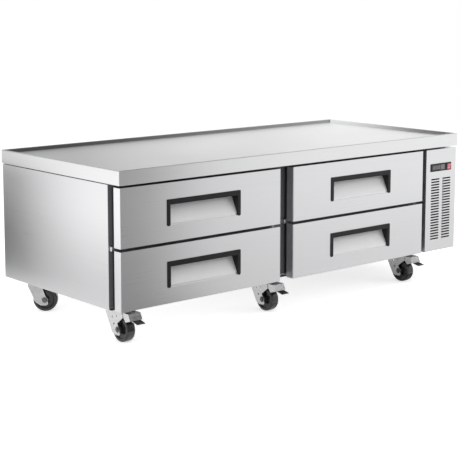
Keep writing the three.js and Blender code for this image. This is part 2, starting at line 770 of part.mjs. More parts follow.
// The wheel, built about X with its middle at the origin.
function makeWheel() {
  const half = treadWidth / 2;
  const hubHalf = forkHalf - fit;
  const bore = runningBore(axleRadius, wheelSides);
  const webRadius = wheelRadius - tyreHeight;
  return turnedAlongX([
    [bore, -hubHalf],
    [hubRadius, -hubHalf],
    [hubRadius, -half + hubRecess],
    [webRadius, -half],
    [wheelRadius - treadShoulder, -half],
    [wheelRadius, -half + treadShoulder],
    [wheelRadius, half - treadShoulder],
    [wheelRadius - treadShoulder, half],
    [webRadius, half],
    [hubRadius, half - hubRecess],
    [hubRadius, hubHalf],
    [bore, hubHalf],
    [bore, -hubHalf],
  ], wheelSides);
}

function makeMountPlate() {
  const plateBottom = bodyBottom - mountPlateThickness;
  const inside = plateBottom + mountPlateThickness / 2;
  const plate = prism("z", roundedRect(-mountPlateWidth / 2, mountPlateWidth / 2, -mountPlateLength / 2,
    mountPlateLength / 2, mountPlateCorner), plateBottom, bodyBottom);
  const raceway = rod("z", 0, 0, racewayRadius, crownTop + fit, inside);
  const pin = rod("z", 0, 0, kingPinRadius, crownBottom - fit - kingNutHeight, inside);
  const nut = prism("z", circle(0, 0, kingNutRadius, hexSides), crownBottom - fit - kingNutHeight,
    crownBottom - fit);
  const bolts = [-1, 1].flatMap((sideX) => [-1, 1].map((sideY) =>
    prism("z", circle((sideX * mountBoltSpacingX) / 2, (sideY * mountBoltSpacingY) / 2, mountBoltRadius,
      hexSides), plateBottom - mountBoltHead, inside)));
  return join(plate, raceway, pin, nut, bolts);
}

// The fork's side view: wide under the crown, narrowing to a rounded sole under the axle. The braked
// fork reaches forward over the wheel to carry the pedal, and is notched back above the tread.
function forkCheek(kind) {
  const shape = new THREE.Shape();
  const { rear: crownRear, heelReach, heelLevel, soleReach } = forkOutlines[kind];
  const sole = axleLevel - forkSole;
  shape.moveTo(crownRear, crownTop);
  if (kind === "braked") {
    shape.lineTo(forkFront, crownTop);
    shape.lineTo(forkFront, crownTop - forkChin);
    shape.lineTo(-casterTrail + forkNotchSetback, axleLevel + forkNotchRise);
  } else {
    shape.lineTo(plainForkFront, crownTop);
  }
  shape.lineTo(-casterTrail - forkToeReach, axleLevel - forkToeReach);
  shape.quadraticCurveTo(-casterTrail - forkToeReach, sole, -casterTrail, sole);
  shape.lineTo(-casterTrail + soleReach, sole);
  shape.quadraticCurveTo(-casterTrail + heelReach, (sole + heelLevel) / 2, -casterTrail + heelReach,
    heelLevel);
  shape.lineTo(crownRear, crownTop - forkHeelDrop);
  shape.closePath();
  return shape;
}

function makeFork(kind) {
  const cheeks = [-1, 1].map((side) => {
    const [low, high] = [side * forkHalf, side * forkOuter].sort((a, b) => a - b);
    return prism("x", forkCheek(kind), low, high, curveSteps);
  });
  const withPedal = kind === "braked";
  const crownFront = withPedal ? forkFront : plainForkFront;
  const crown = block(-forkOuter, forkOuter, crownFront, forkOutlines[kind].rear, crownBottom, crownTop);
  const axle = rod("x", -casterTrail, axleLevel, axleRadius, -forkOuter, forkOuter);
  const ends = [-1, 1].map((side) => {
    const [low, high] = [side * forkOuter, side * (forkOuter + axleNutHeight)].sort((a, b) => a - b);
    return prism("x", circle(-casterTrail, axleLevel, axleNutRadius, hexSides), low, high);
  });
  const bore = rod("z", 0, 0, runningBore(kingPinRadius), crownBottom - overrun, crownTop + overrun);
  const pins = withPedal ? [pedalPin()] : [];
  return join(cut(join(cheeks, crown), bore), axle, ends, pins);
}

// The swivels' distances from the front and the rear.
const frontSwivelInset = 138;
const rearSwivelInset = 100;
const frontSwivelY = front + frontSwivelInset;
const rearSwivelY = rear - rearSwivelInset;

// The brake pedal: a channel hinged on a pin in the fork's nose, with a tread at its lower tip and
// a shoe that comes down on the wheel.
const pedalPivotInset = 8;
const pedalPivotDrop = 14;
const pedalPinRadius = 3;
const pedalThickness = 2.5;
const pedalGap = 2;
const pedalTopDrop = 8;
const pedalChannelLength = 32;
const pedalFaceLean = 12;
const pedalFaceHeight = 24;
const pedalTreadDrop = 7;
const pedalTreadHalf = 19;
const pedalNarrowing = 1;
const pedalLugRadius = 6;
const pedalCheekRise = 6;
const pedalCheekSlope = 15;
const pedalCheekDrop = 27;
const shoeHalf = 12;
const shoeLength = 7;
const shoeDrop = 21.5;
const pedalPivotY = forkFront + pedalPivotInset;
const pedalPivotZ = crownTop - pedalPivotDrop;
const pedalPin = () => rod("x", pedalPivotY, pedalPivotZ, pedalPinRadius, -forkOuter, forkOuter);

// The pedal, built with the middle of its pin at the origin.
function makePedal() {
  const t = pedalThickness;
  const topZ = pedalPivotDrop - pedalTopDrop;
  const rearY = -pedalPivotInset - pedalGap;
  const faceY = rearY - pedalChannelLength;
  const lowY = faceY - pedalFaceLean;
  const lowZ = topZ - pedalFaceHeight;
  const tipY = front - pedalOverhang - frontSwivelY - pedalPivotY;
  const tipZ = lowZ - pedalTreadDrop;
  const channel = outline([rearY, topZ], [faceY, topZ], [lowY, lowZ], [lowY + t, lowZ - t / 2],
    [faceY + t, topZ - t], [rearY, topZ - t]);
  const tread = outline([lowY + t, lowZ], [lowY, lowZ], [tipY, tipZ], [tipY, tipZ - t], [lowY + t, lowZ - t]);
  const cheek = outline([rearY, topZ], [faceY, topZ], [lowY, lowZ],
    [rearY - pedalCheekSlope, -pedalCheekDrop], [rearY - pedalGap, -pedalCheekRise * 2]);
  const lugHalf = forkHalf - fit;
  const half = forkOuter - pedalNarrowing;
  const lug = outline([pedalLugRadius, pedalLugRadius / 2], [pedalLugRadius / 2, pedalLugRadius],
    [rearY - t, pedalLugRadius], [rearY - t, -pedalLugRadius], [pedalLugRadius / 2, -pedalLugRadius],
    [pedalLugRadius, -pedalLugRadius / 2]);
  const parts = [-1, 1].flatMap((side) => {
    const across = (near, far) => [side * near, side * far].sort((a, b) => a - b);
    return [
      prism("x", cheek, ...across(half - t, half)),
      prism("x", lug, ...across(lugHalf - t, lugHalf)),
      block(...across(lugHalf - t, half), rearY - t * 2, rearY - fit, -pedalLugRadius, topZ - t / 2),
    ];
  });
  const shoe = block(-shoeHalf, shoeHalf, rearY - fit - shoeLength, rearY - fit, -shoeDrop, topZ - t / 2);
  const shoeTie = block(-lugHalf, lugHalf, rearY - fit - t, rearY - fit, -pedalLugRadius, topZ - t / 2);
  const bore = rod("x", 0, 0, runningBore(pedalPinRadius), -forkOuter - overrun, forkOuter + overrun);
  return cut(join(prism("x", channel, -half, half), prism("x", tread, -pedalTreadHalf, pedalTreadHalf),
    parts, shoe, shoeTie), bore);
}

// Where the casters stand: each one's swivel, and whether it has a brake.
const leftCasterInset = 83;
const middleCasterOffset = 24;
const rightCasterInset = 240;
const middleCasterX = leftDrawerX + (drawerWidth + mullionGap) / 2 - middleCasterOffset;
const rightCasterX = right - rightCasterInset;
const rearLeftTurn = 48;
const casterPlaces = {
  front_left: { x: left + leftCasterInset, y: frontSwivelY, turn: 0, braked: true },
  front_middle: { x: middleCasterX, y: frontSwivelY, turn: 0, braked: true },
  front_right: { x: rightCasterX, y: frontSwivelY, turn: 0, braked: true },
  rear_left: { x: left + leftCasterInset, y: rearSwivelY, turn: rearLeftTurn, braked: false },
  rear_middle: { x: middleCasterX, y: rearSwivelY, turn: 0, braked: false },
  rear_right: { x: rightCasterX, y: rearSwivelY, turn: 0, braked: false },
};
const wheel = makeWheel();
const mountPlate = makeMountPlate();
const forks = { plain: makeFork("plain"), braked: makeFork("braked") };
const pedal = makePedal();
for (const [place, { x, y, turn, braked }] of Object.entries(casterPlaces)) {
  const caster = new THREE.Group();
  caster.position.set(x, y, 0);
  addPiece(caster, `${place}_caster_plate`, mountPlate, "zinc");
  const swivel = new THREE.Group();
  swivel.rotation.z = THREE.MathUtils.degToRad(turn);
  addPiece(swivel, `${place}_caster_fork`, braked ? forks.braked : forks.plain, "zinc");
  const wheelMesh = addPiece(swivel, `${place}_wheel`, wheel, "wheelRubber");
  wheelMesh.position.set(0, -casterTrail, axleLevel);
  if (braked) {
    const pedalMesh = addPiece(swivel, `${place}_brake_pedal`, pedal, "zinc");
    pedalMesh.position.set(0, pedalPivotY, pedalPivotZ);
  }
  caster.add(swivel);
  chefBase.add(caster);
}

// Refrigeration unit: a condenser behind the louvres, its fan and the compressor stand on one tray.
const unitLeft = partition + sheet;
const unitRight = right - sheet;
const unitFloor = bodyBottom + sheet;
const unitMiddle = (unitLeft + unitRight) / 2;
const trayInset = 4;
const trayFront = frameFront + sheet + trayInset;
const trayRearGap = 30;
const trayRear = backInner - trayRearGap;
const trayLip = 18;
const trayTop = unitFloor + sheet;

function makeUnitTray() {
  const pan = block(unitLeft + trayInset, unitRight - trayInset, trayFront, trayRear,
    unitFloor, trayTop + trayLip);
  const hollow = block(unitLeft + trayInset + sheet, unitRight - trayInset - sheet, trayFront + sheet,
    trayRear - sheet, trayTop, trayTop + trayLip + overrun);
  return cut(pan, hollow);
}
addPiece(chefBase, "unit_tray", makeUnitTray(), "stainless");

// A finned coil: end plates, fins with air gaps between them on both faces, and tube bends at one end.
const finThickness = 5;
const finCore = 12;
const bendRadius = 4;
const bendReach = 14;
const bendSteps = 6;

function makeFinnedCoil({ left: x0, right: x1, front: y0, back: y1, bottom: z0, top: z1, fins, bends }) {
  const middle = (y0 + y1) / 2;
  const finPitch = (x1 - x0 - finThickness) / (fins - 1);
  const gaps = [];
  for (let fin = 0; fin < fins - 1; fin++) {
    const low = x0 + fin * finPitch + finThickness;
    const high = x0 + (fin + 1) * finPitch;
    gaps.push(block(low, high, y0 - overrun, middle - finCore / 2, z0 - overrun, z1 + overrun));
    gaps.push(block(low, high, middle + finCore / 2, y1 + overrun, z0 - overrun, z1 + overrun));
  }
  const pitch = (z1 - z0) / (2 * bends);
  const tubes = [];
  for (let i = 0; i < bends; i++) {
    const low = z0 + pitch * (2 * i + 1) - pitch / 2;
    tubes.push(pipe([[x1 - bendRadius, middle, low], [x1 + bendReach / 2, middle, low],
      [x1 + bendReach, middle, low + pitch / 2], [x1 + bendReach / 2, middle, low + pitch],
      [x1 - bendRadius, middle, low + pitch]], bendRadius, bendSteps));
  }
  return join(cut(block(x0, x1, y0, y1, z0, z1), gaps), tubes);
}
const coilWidth = 146;
const coilDepth = 44;
const coilHeight = 260;
const coilShift = 8;
const coilLeft = unitMiddle - coilWidth / 2 - coilShift;
const coilFront = trayFront + sheet + fit;
const coilBack = coilFront + coilDepth;
const condenserFins = 10;
const condenserBends = 3;
const stubRadius = 4;
const stubHeight = 14;
const stubInset = 18;
const stubX = coilLeft + stubInset;
const stubY = (coilFront + coilBack) / 2;
const stubTop = trayTop + coilHeight + stubHeight;

function makeCondenserCoil() {
  const coil = makeFinnedCoil({ left: coilLeft, right: coilLeft + coilWidth, front: coilFront, back: coilBack,
    bottom: trayTop, top: trayTop + coilHeight, fins: condenserFins, bends: condenserBends });
  return join(coil, rod("z", stubX, stubY, stubRadius, stubTop - stubHeight * 2, stubTop));
}
addPiece(chefBase, "condenser_coil", makeCondenserCoil(), "aluminium");

// What carries a fan: a plate with a collar round its hole, three arms and a motor with its shaft.
const fanTipGap = 3;
const fanArms = 3;
const fanArmHalf = 5;
const fanArmDepth = 4;
const shaftRadius = 3;
const fanHubRadius = 17;
const fanHubLength = 20;
const bladeCount = 5;
const bladeTipShare = 0.4;
const bladePitch = 28;
const bladeThickness = 1.6;

function makeFanCarrier({ x, z, face, radius, collar, motorRadius, motorLength }) {
  const hole = radius + fanTipGap;
  const armFront = face + sheet + collar;
  const armBack = armFront + fanArmDepth;
  const ring = rod("y", x, z, hole + sheet, face, armBack, roundSides);
  const arm = block(-fanArmHalf, fanArmHalf, armFront, armBack, motorRadius / 2, hole + sheet);
  const arms = Array.from({ length: fanArms }, (_, i) =>
    arm.rotate([0, (fullTurn / fanArms) * i, 0]).translate([x, 0, z]));
  const bore = rod("y", x, z, hole, face - overrun, armBack + overrun, roundSides);
  const motor = rod("y", x, z, motorRadius, armFront, armFront + motorLength, motorSides);
  const shaft = rod("y", x, z, shaftRadius, armFront - fit - fanHubLength, armFront + fanArmDepth, pipeSides);
  return { hole: bore, solids: [cut(ring, bore), ...arms, motor, shaft] };
}

// A fan with pitched blades, built about Y with the hub's rear face at the origin.
function makeFan(radius) {
  const hub = rod("y", 0, 0, fanHubRadius, -fanHubLength, 0, motorSides);
  const rim = rod("y", 0, 0, radius, -radius, radius, roundSides);
  const root = fanHubRadius / 2;
  const tip = radius * bladeTipShare;
  const reach = tip * Math.sin(THREE.MathUtils.degToRad(bladePitch)) + bladeThickness;
  const blade = outline([root, -root], [radius + sheet, -tip], [radius + sheet, tip / 2], [root, root]);
  const flat = prism("y", blade, -bladeThickness / 2, bladeThickness / 2).rotate([bladePitch, 0, 0])
    .translate([0, -reach, 0]).intersect(rim);
  const step = fullTurn / bladeCount;
  const blades = Array.from({ length: bladeCount }, (_, i) => flat.rotate([0, step * i, 0]));
  return cut(join(hub, blades), rod("y", 0, 0, shaftRadius + fit, -fanHubLength - overrun, overrun));
}

const condenserFanRadius = 66;
const condenserCollar = 22;
const condenserMotorRadius = 30;
const condenserMotorLength = 46;
const condenserFanZ = trayTop + coilHeight / 2;
const condenserFanX = coilLeft + coilWidth / 2;

function makeCondenserShroud() {
  const carrier = makeFanCarrier({ x: condenserFanX, z: condenserFanZ, face: coilBack,
    radius: condenserFanRadius, collar: condenserCollar, motorRadius: condenserMotorRadius,
    motorLength: condenserMotorLength });
  const plate = block(coilLeft, coilLeft + coilWidth, coilBack, coilBack + sheet,
    trayTop, trayTop + coilHeight);
  return join(cut(plate, carrier.hole), carrier.solids);
}
addPiece(chefBase, "condenser_fan_shroud", makeCondenserShroud(), "blackEnamel");
const condenserFan = addPiece(chefBase, "condenser_fan", makeFan(condenserFanRadius), "blackPlastic");
condenserFan.position.set(condenserFanX, coilBack + sheet + condenserCollar - fit, condenserFanZ);

// Compressor: a welded can on rubber feet, with its terminal box and the pipe to the condenser.
const compressorY = -30;
const canRadius = 62;
const canHeight = 150;
const canDome = 26;
const canFlange = 4;
const canSides = 16;
const footHeight = 10;
const footRadius = 8;
const footPlateHalf = 66;
const footInset = 9;
const pipeRadius = 4;
const terminalHalf = 22;
const terminalDepth = 20;
const terminalHeight = 48;
const pipeSteps = 12;

function makeCompressor() {
  const base = trayTop + footHeight;
  const can = turned([[0, 0], [canRadius - canDome, 0], [canRadius, canDome / 2], [canRadius, canHeight / 2],
    [canRadius + canFlange, canHeight / 2], [canRadius + canFlange, canHeight / 2 + canFlange],
    [canRadius, canHeight / 2 + canFlange], [canRadius, canHeight],
    [canRadius - canDome / 2, canHeight + canDome - canDome / 3], [0, canHeight + canDome]], canSides)
    .translate([unitMiddle, compressorY, base]);
  const plate = prism("z", roundedRect(unitMiddle - footPlateHalf, unitMiddle + footPlateHalf,
    compressorY - footPlateHalf, compressorY + footPlateHalf, footRadius), base - sheet, base + sheet);
  const feet = [-1, 1].flatMap((sideX) => [-1, 1].map((sideY) => {
    const spread = footPlateHalf - footInset;
    return rod("z", unitMiddle + sideX * spread, compressorY + sideY * spread, footRadius, trayTop, base);
  }));
  const boxBase = base + canHeight / 2 + canFlange + sheet;
  const box = block(unitMiddle - terminalHalf, unitMiddle + terminalHalf,
    compressorY + canRadius - canDome / 2, compressorY + canRadius + terminalDepth,
    boxBase, boxBase + terminalHeight);
  const shoulder = base + canHeight - canDome;
  const pipeTop = stubTop + fit;
  const discharge = pipe([[unitMiddle, compressorY - canRadius / 2, shoulder],
    [unitMiddle - canRadius, compressorY - canRadius, shoulder],
    [stubX, (compressorY + stubY) / 2, pipeTop + canRadius],
    [stubX, stubY + stubHeight, pipeTop + canRadius],
    [stubX, stubY, pipeTop + stubHeight], [stubX, stubY, pipeTop]], pipeRadius, pipeSteps);
  return join(can, plate, feet, box, discharge);
}
addPiece(chefBase, "compressor", makeCompressor(), "blackEnamel");

// Evaporator: a cover on the liner's rear wall, between the two columns of drawers, with the cold
// coil and its fan inside.
const evaporatorHalf = 146;
const evaporatorBase = 366;
const evaporatorTopGap = 6;
const evaporatorFanRadius = 52;
const evaporatorCollar = 18;
const evaporatorMotorRadius = 24;
const evaporatorMotorLength = 30;
const evaporatorCoilDepth = 34;
const evaporatorCoilInset = 8;
const evaporatorFins = 11;
const evaporatorBends = 2;
const evaporatorX = (leftDrawerX + rightDrawerX) / 2;
const evaporatorTop = bayCeiling - evaporatorTopGap;
const evaporatorFanZ = (evaporatorBase + evaporatorTop) / 2;
const ventWidth = 60;
const ventHeight = 6;
const ventPitch = 22;
const ventRows = 5;

function makeEvaporatorCover() {
  const carrier = makeFanCarrier({ x: evaporatorX, z: evaporatorFanZ, face: evaporatorFront,
    radius: evaporatorFanRadius, collar: evaporatorCollar, motorRadius: evaporatorMotorRadius,
    motorLength: evaporatorMotorLength });
  const shell = block(evaporatorX - evaporatorHalf, evaporatorX + evaporatorHalf, evaporatorFront, bayRear,
    evaporatorBase, evaporatorTop);
  const hollow = block(evaporatorX - evaporatorHalf + sheet, evaporatorX + evaporatorHalf - sheet,
    evaporatorFront + sheet, bayRear + overrun, evaporatorBase + sheet, evaporatorTop - sheet);
  const vents = [];
  for (let row = 0; row < ventRows; row++) {
    const level = evaporatorFanZ + (row - (ventRows - 1) / 2) * ventPitch;
    for (const side of [-1, 1]) {
      const middle = evaporatorX + side * (evaporatorHalf + evaporatorFanRadius) / 2;
      vents.push(block(middle - ventWidth / 2, middle + ventWidth / 2, evaporatorFront - overrun,
        evaporatorFront + sheet + overrun, level - ventHeight / 2, level + ventHeight / 2));
    }
  }
  return join(cut(shell, hollow, carrier.hole, vents), carrier.solids);
}
addPiece(chefBase, "evaporator_cover", makeEvaporatorCover(), "innerSteel");
addPiece(chefBase, "evaporator_coil", makeFinnedCoil({
  left: evaporatorX - evaporatorHalf + evaporatorCoilInset,
  right: evaporatorX + evaporatorHalf - sheet - evaporatorCoilInset - bendReach,
  front: bayRear - evaporatorCoilInset - evaporatorCoilDepth,
  back: bayRear - evaporatorCoilInset,
  bottom: evaporatorBase + sheet,
  top: evaporatorTop - sheet - evaporatorCoilInset,
  fins: evaporatorFins,
  bends: evaporatorBends,
}), "aluminium");
const evaporatorFan = addPiece(chefBase, "evaporator_fan", makeFan(evaporatorFanRadius), "blackPlastic");
evaporatorFan.position.set(evaporatorX, evaporatorFront + sheet + evaporatorCollar - fit, evaporatorFanZ);

export default chefBase;
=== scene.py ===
# %% [markdown]
# A refrigerated chef base, finished in Blender. The real object is a low insulated cabinet of folded
# stainless sheet on six casters. Four insulated drawers hold food pans, and a small refrigeration unit
# sits behind a louvred cover at the right. The construction is already packed as a frame of solids in
# real size, so this lesson only adds what a camera sees: rolled bends, seals, screws and finishes.

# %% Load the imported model
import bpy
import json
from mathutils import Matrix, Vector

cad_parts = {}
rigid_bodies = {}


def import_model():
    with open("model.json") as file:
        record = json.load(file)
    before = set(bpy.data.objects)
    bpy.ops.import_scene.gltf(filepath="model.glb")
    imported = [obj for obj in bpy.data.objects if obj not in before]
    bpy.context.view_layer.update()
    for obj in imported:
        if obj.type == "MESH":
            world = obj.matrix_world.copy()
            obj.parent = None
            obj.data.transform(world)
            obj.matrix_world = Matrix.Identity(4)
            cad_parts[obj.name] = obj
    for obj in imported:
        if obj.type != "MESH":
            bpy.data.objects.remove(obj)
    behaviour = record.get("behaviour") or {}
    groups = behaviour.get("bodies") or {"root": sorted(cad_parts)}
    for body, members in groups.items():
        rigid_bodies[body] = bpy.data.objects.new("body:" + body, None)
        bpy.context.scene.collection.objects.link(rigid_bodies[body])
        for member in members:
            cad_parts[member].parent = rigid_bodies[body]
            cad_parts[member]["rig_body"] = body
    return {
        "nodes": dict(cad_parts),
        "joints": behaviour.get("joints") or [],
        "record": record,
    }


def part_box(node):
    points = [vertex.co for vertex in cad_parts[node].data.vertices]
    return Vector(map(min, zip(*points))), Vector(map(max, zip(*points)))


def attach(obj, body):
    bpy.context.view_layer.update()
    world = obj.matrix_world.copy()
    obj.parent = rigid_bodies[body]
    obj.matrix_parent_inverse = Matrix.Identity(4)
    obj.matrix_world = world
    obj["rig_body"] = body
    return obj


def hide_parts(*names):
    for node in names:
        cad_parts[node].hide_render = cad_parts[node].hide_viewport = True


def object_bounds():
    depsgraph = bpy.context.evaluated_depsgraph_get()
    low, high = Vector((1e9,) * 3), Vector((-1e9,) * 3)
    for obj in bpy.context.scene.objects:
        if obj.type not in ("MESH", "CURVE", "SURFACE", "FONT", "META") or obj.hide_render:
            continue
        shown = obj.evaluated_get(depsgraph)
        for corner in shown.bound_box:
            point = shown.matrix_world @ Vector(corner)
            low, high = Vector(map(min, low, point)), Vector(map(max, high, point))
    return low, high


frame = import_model()
solid_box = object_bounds()

# %% Blender's modules, and the units of this file
import json
import math

import bmesh
import bpy
from mathutils import Matrix, Vector

mm = 0.001
rides_on = {name: node["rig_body"] for name, node in frame["nodes"].items()}
overall = solid_box[1] - solid_box[0]
print("overall size in mm:", [round(side / mm) for side in overall])

# %% [markdown]
# The picture is taken by a camera that stands well back to the left, a little above the worktop, and
# looks down slightly. A long lens from more than five metres keeps the long front from shrinking
# towards the right. A camera could be aimed by eye, but here its place, turn and lens come from the
# corners of the cabinet.

# %% Camera
camera_place = Vector((-3.5102, -4.0222, 1.2836))
camera_turn = math.radians(40.542)
camera_tilt = math.radians(-7.683)
camera_lens = 100.22
camera_sensor = 36
camera_shift = -0.15
camera_reach = 50

camera_data = bpy.data.cameras.new("camera")
camera_data.lens = camera_lens
camera_data.sensor_width = camera_sensor
camera_data.shift_y = camera_shift
camera_data.clip_end = camera_reach
camera = bpy.data.objects.new("camera", camera_data)
camera.location = camera_place
camera.rotation_euler = (math.pi / 2 + camera_tilt, 0, -camera_turn)
bpy.context.scene.collection.objects.link(camera)
bpy.context.scene.camera = camera
bpy.context.scene.view_settings.view_transform = "Standard"
print("camera stands", round((camera_place - (solid_box[0] + solid_box[1]) / 2).length, 2), "m away")

# %% [markdown]
# A finish is a small program of shader nodes. Blender's own way is to drag wires between nodes, which
# is slow to read in a script. The class below wraps one socket and gives it the signs of arithmetic,
# so that a sum of patterns reads like a sum, and each sign adds the Math node it stands for.

# %% One wire of a shader
class Wire:
    def __init__(self, tree, socket):
        self.tree = tree
        self.socket = socket

    def sum(self, operation, first, second, limit=False):
        node = self.tree.nodes.new("ShaderNodeMath")
        node.operation = operation
        node.use_clamp = limit
        for place, value in zip(node.inputs, (first, second)):
            plug(self.tree, place, value)
        return Wire(self.tree, node.outputs[0])

    def __add__(self, other):
        return self.sum("ADD", self, other)

    def __radd__(self, other):
        return self.sum("ADD", other, self)

    def __sub__(self, other):
        return self.sum("SUBTRACT", self, other)

    def __rsub__(self, other):
        return self.sum("SUBTRACT", other, self)

    def __mul__(self, other):
        return self.sum("MULTIPLY", self, other)

    def __rmul__(self, other):
        return self.sum("MULTIPLY", other, self)

    def __truediv__(self, other):
        return self.sum("DIVIDE", self, other)

    def __pow__(self, other):
        return self.sum("POWER", self, other)

    def __gt__(self, other):
        return self.sum("GREATER_THAN", self, other)

    def size(self):
        return self.sum("ABSOLUTE", self, 0)

    def limited(self):
        return self.sum("ADD", self, 0, limit=True)


def plug(tree, place, value):
    if isinstance(value, Wire):
        tree.links.new(value.socket, place)
    elif isinstance(value, (tuple, list)) and len(place.default_value) == 4 and len(value) == 3:
        place.default_value = (*value, 1)
    else:
        place.default_value = value


# %% [markdown]
# Every other node comes from one method: the node's type, its settings, and what goes into its
# sockets. What is the same all over a surface is set on the shader itself, and only what changes over
# the surface is wired. Patterns read the Object coordinates, which are metres on the real cabinet, so
# a grain of half a millimetre is written as half a millimetre.

# %% A finish under construction
class Finish:
    def __init__(self, name, **same_all_over):
        self.material = bpy.data.materials.new(name)
        self.material.use_nodes = True
        self.tree = self.material.node_tree
        self.shader = self.tree.nodes["Principled BSDF"]
        for word, value in same_all_over.items():
            self.wire_in(word.replace("_", " "), value)

    def wire_in(self, socket, value):
        plug(self.tree, self.shader.inputs[socket], value)

    def node(self, kind, settings=None, sockets=None, output=0):
        made = self.tree.nodes.new(kind)
        for word, value in (settings or {}).items():
            setattr(made, word, value)
        for word, value in (sockets or {}).items():
            plug(self.tree, self.socket(made.inputs, word), value)
        return Wire(self.tree, self.socket(made.outputs, output))

    @staticmethod
    def socket(sockets, word):
        if isinstance(word, int):
            return sockets[word]
        return next(s for s in sockets if word in (s.identifier, s.name) and s.enabled)

    def place(self):
        return self.node("ShaderNodeTexCoord", output="Object")

    def facing(self):
        return self.node("ShaderNodeTexCoord", output="Normal")

    def parts(self, vector):
        split = self.tree.nodes.new("ShaderNodeSeparateXYZ")
        plug(self.tree, split.inputs[0], vector)
        return [Wire(self.tree, out) for out in split.outputs]

    def point(self, x, y, z):
        return self.node("ShaderNodeCombineXYZ", sockets={"X": x, "Y": y, "Z": z})

    def noise(self, vector, scale=1.0, detail=2.0):
        sockets = {"Vector": vector, "Scale": scale, "Detail": detail}
        return self.node("ShaderNodeTexNoise", sockets=sockets, output="Fac")

    def between(self, share, first, second):
        sockets = {"Factor_Float": share, "A_Color": first, "B_Color": second}
        return self.node("ShaderNodeMix", {"data_type": "RGBA"}, sockets, "Result_Color")

    def mottled(self, share, color, contrast):
        darker, lighter = shade(color, 1 - contrast), shade(color, 1 + contrast)
        self.wire_in("Base Color", self.between(share.limited(), darker, lighter))

    def bump(self, height, depth):
        self.wire_in("Normal", self.node("ShaderNodeBump", sockets={"Height": height, "Distance": depth}))


def shade(color, factor):
    return tuple(min(1.0, part * factor) for part in color)


print("finish tools ready")

# %% [markdown]
# Brushed stainless sheet is the finish that covers most of the cabinet. An abrasive belt leaves hair
# lines that run along the sheet, so the pattern is noise stretched along one way: lines a fraction of
# a millimetre wide and several centimetres long, over wider and fainter bands. On the fronts, the back
# and the top the lines run along the cabinet. On its ends they run from front to back, which the
# finish finds from the way that the face looks.

# %% Brushed sheet
hair_width = 0.9 * mm
hair_length = 220 * mm
band_width = 8 * mm
band_length = 900 * mm
hair_depth = 0.003 * mm
smudges_per_metre = 4
looks_to_an_end = 0.7


def brushed_sheet(name, color, roughness, contrast=0.035, metal=1.0):
    finish = Finish(name, Metallic=metal)
    x, y, z = finish.parts(finish.place())
    end = finish.parts(finish.facing())[0].size() > looks_to_an_end
    along = x + end * (y - x)
    across = y + end * (x - y)
    hairs = finish.noise(finish.point(along / hair_length, across / hair_width, z / hair_width), detail=1)
    bands = finish.noise(finish.point(along / band_length, across / band_width, z / band_width), detail=3)
    smudges = finish.noise(finish.place(), scale=smudges_per_metre, detail=4)
    finish.mottled((hairs - 0.5) * 0.3 + bands * 0.7 + smudges * 0.3, color, contrast)
    unevenness = (hairs - 0.5) * 0.05 + (bands - 0.5) * 0.06 + (smudges - 0.5) * 0.08
    finish.wire_in("Roughness", roughness + unevenness)
    finish.bump(hairs, hair_depth)
    return finish.material


stainless = brushed_sheet("brushed stainless", (0.735, 0.738, 0.745), 0.3)
pocket_steel = brushed_sheet("satin pocket sheet", (0.74, 0.742, 0.746), 0.55, 0.02, 0.35)
# The returns are the same folded sheet as the drawer faces. Their lighter colour is painted light, for the
# light that falls on them.
lit_return_steel = brushed_sheet("satin stainless return with painted light", (0.82, 0.822, 0.83), 0.38, 0.03)
worktop_steel = brushed_sheet("worktop stainless", (0.78, 0.785, 0.785), 0.34, 0.03)
inner_steel = brushed_sheet("inner stainless", (0.70, 0.71, 0.72), 0.4, 0.04, 0.6)
print("sheet finishes:", stainless.name, worktop_steel.name, inner_steel.name)

# %% [markdown]
# The handles, the fascia and the dark frame are moulded plastic. A mould leaves a fine spark-eroded
# grain, and the colour drifts a little with the flow of the melt. The grain is small noise in the
# bump, and the drift is a wide noise between two close shades.

# %% Moulded plastics and rubbers
drifts_per_metre = 9
drift_contrast = 0.18


def moulded(name, color, roughness, grain=0.4 * mm, depth=0.03 * mm, **same_all_over):
    finish = Finish(name, **same_all_over)
    drift = finish.noise(finish.place(), scale=drifts_per_metre, detail=3)
    pores = finish.noise(finish.place(), scale=1 / grain, detail=1)
    finish.mottled(drift * 0.7 + pores * 0.3, color, drift_contrast)
    finish.wire_in("Roughness", roughness + (pores - 0.5) * 0.12 + (drift - 0.5) * 0.1)
    finish.bump(pores, depth)
    return finish.material


dull = {"Specular_IOR_Level": 0.28}
black_plastic = moulded("black handle plastic", (0.009, 0.009, 0.0095), 0.36, **dull)
dark_frame = moulded("dark frame plastic", (0.165, 0.165, 0.18), 0.4, **dull)
# This is the drawers' real dark liner, and also painted shade on faces inside the refrigeration unit.
liner_plastic_and_shade = moulded("dark liner plastic and painted shade", (0.03, 0.03, 0.034), 0.45, **dull)
case_plastic = moulded("dark controller case", (0.022, 0.021, 0.022), 0.35)
membrane = moulded("grey key membrane", (0.19, 0.182, 0.18), 0.3, depth=0.01 * mm)
pane = moulded("smoked display pane", (0.15, 0.143, 0.141), 0.1, depth=0.002 * mm)
gasket_rubber = moulded("grey gasket", (0.035, 0.035, 0.040), 0.6, grain=0.8 * mm, **dull)
tread_rubber = moulded("caster tread rubber", (0.014, 0.014, 0.015), 0.24, grain=1.2 * mm, depth=0.03 * mm,
                       Coat_Weight=0.5, Coat_Roughness=0.12)
core_plastic = moulded("wheel core plastic", (0.008, 0.008, 0.009), 0.2, Coat_Weight=0.35)
red_plastic = moulded("red rocker", (0.66, 0.15, 0.19), 0.16, depth=0.004 * mm, Coat_Weight=0.6)
white_plastic = moulded("white plastic", (0.80, 0.80, 0.79), 0.4)
enamel = moulded("black enamel", (0.012, 0.012, 0.013), 0.28, grain=1.5 * mm, depth=0.02 * mm)
print("plastics and rubbers made")
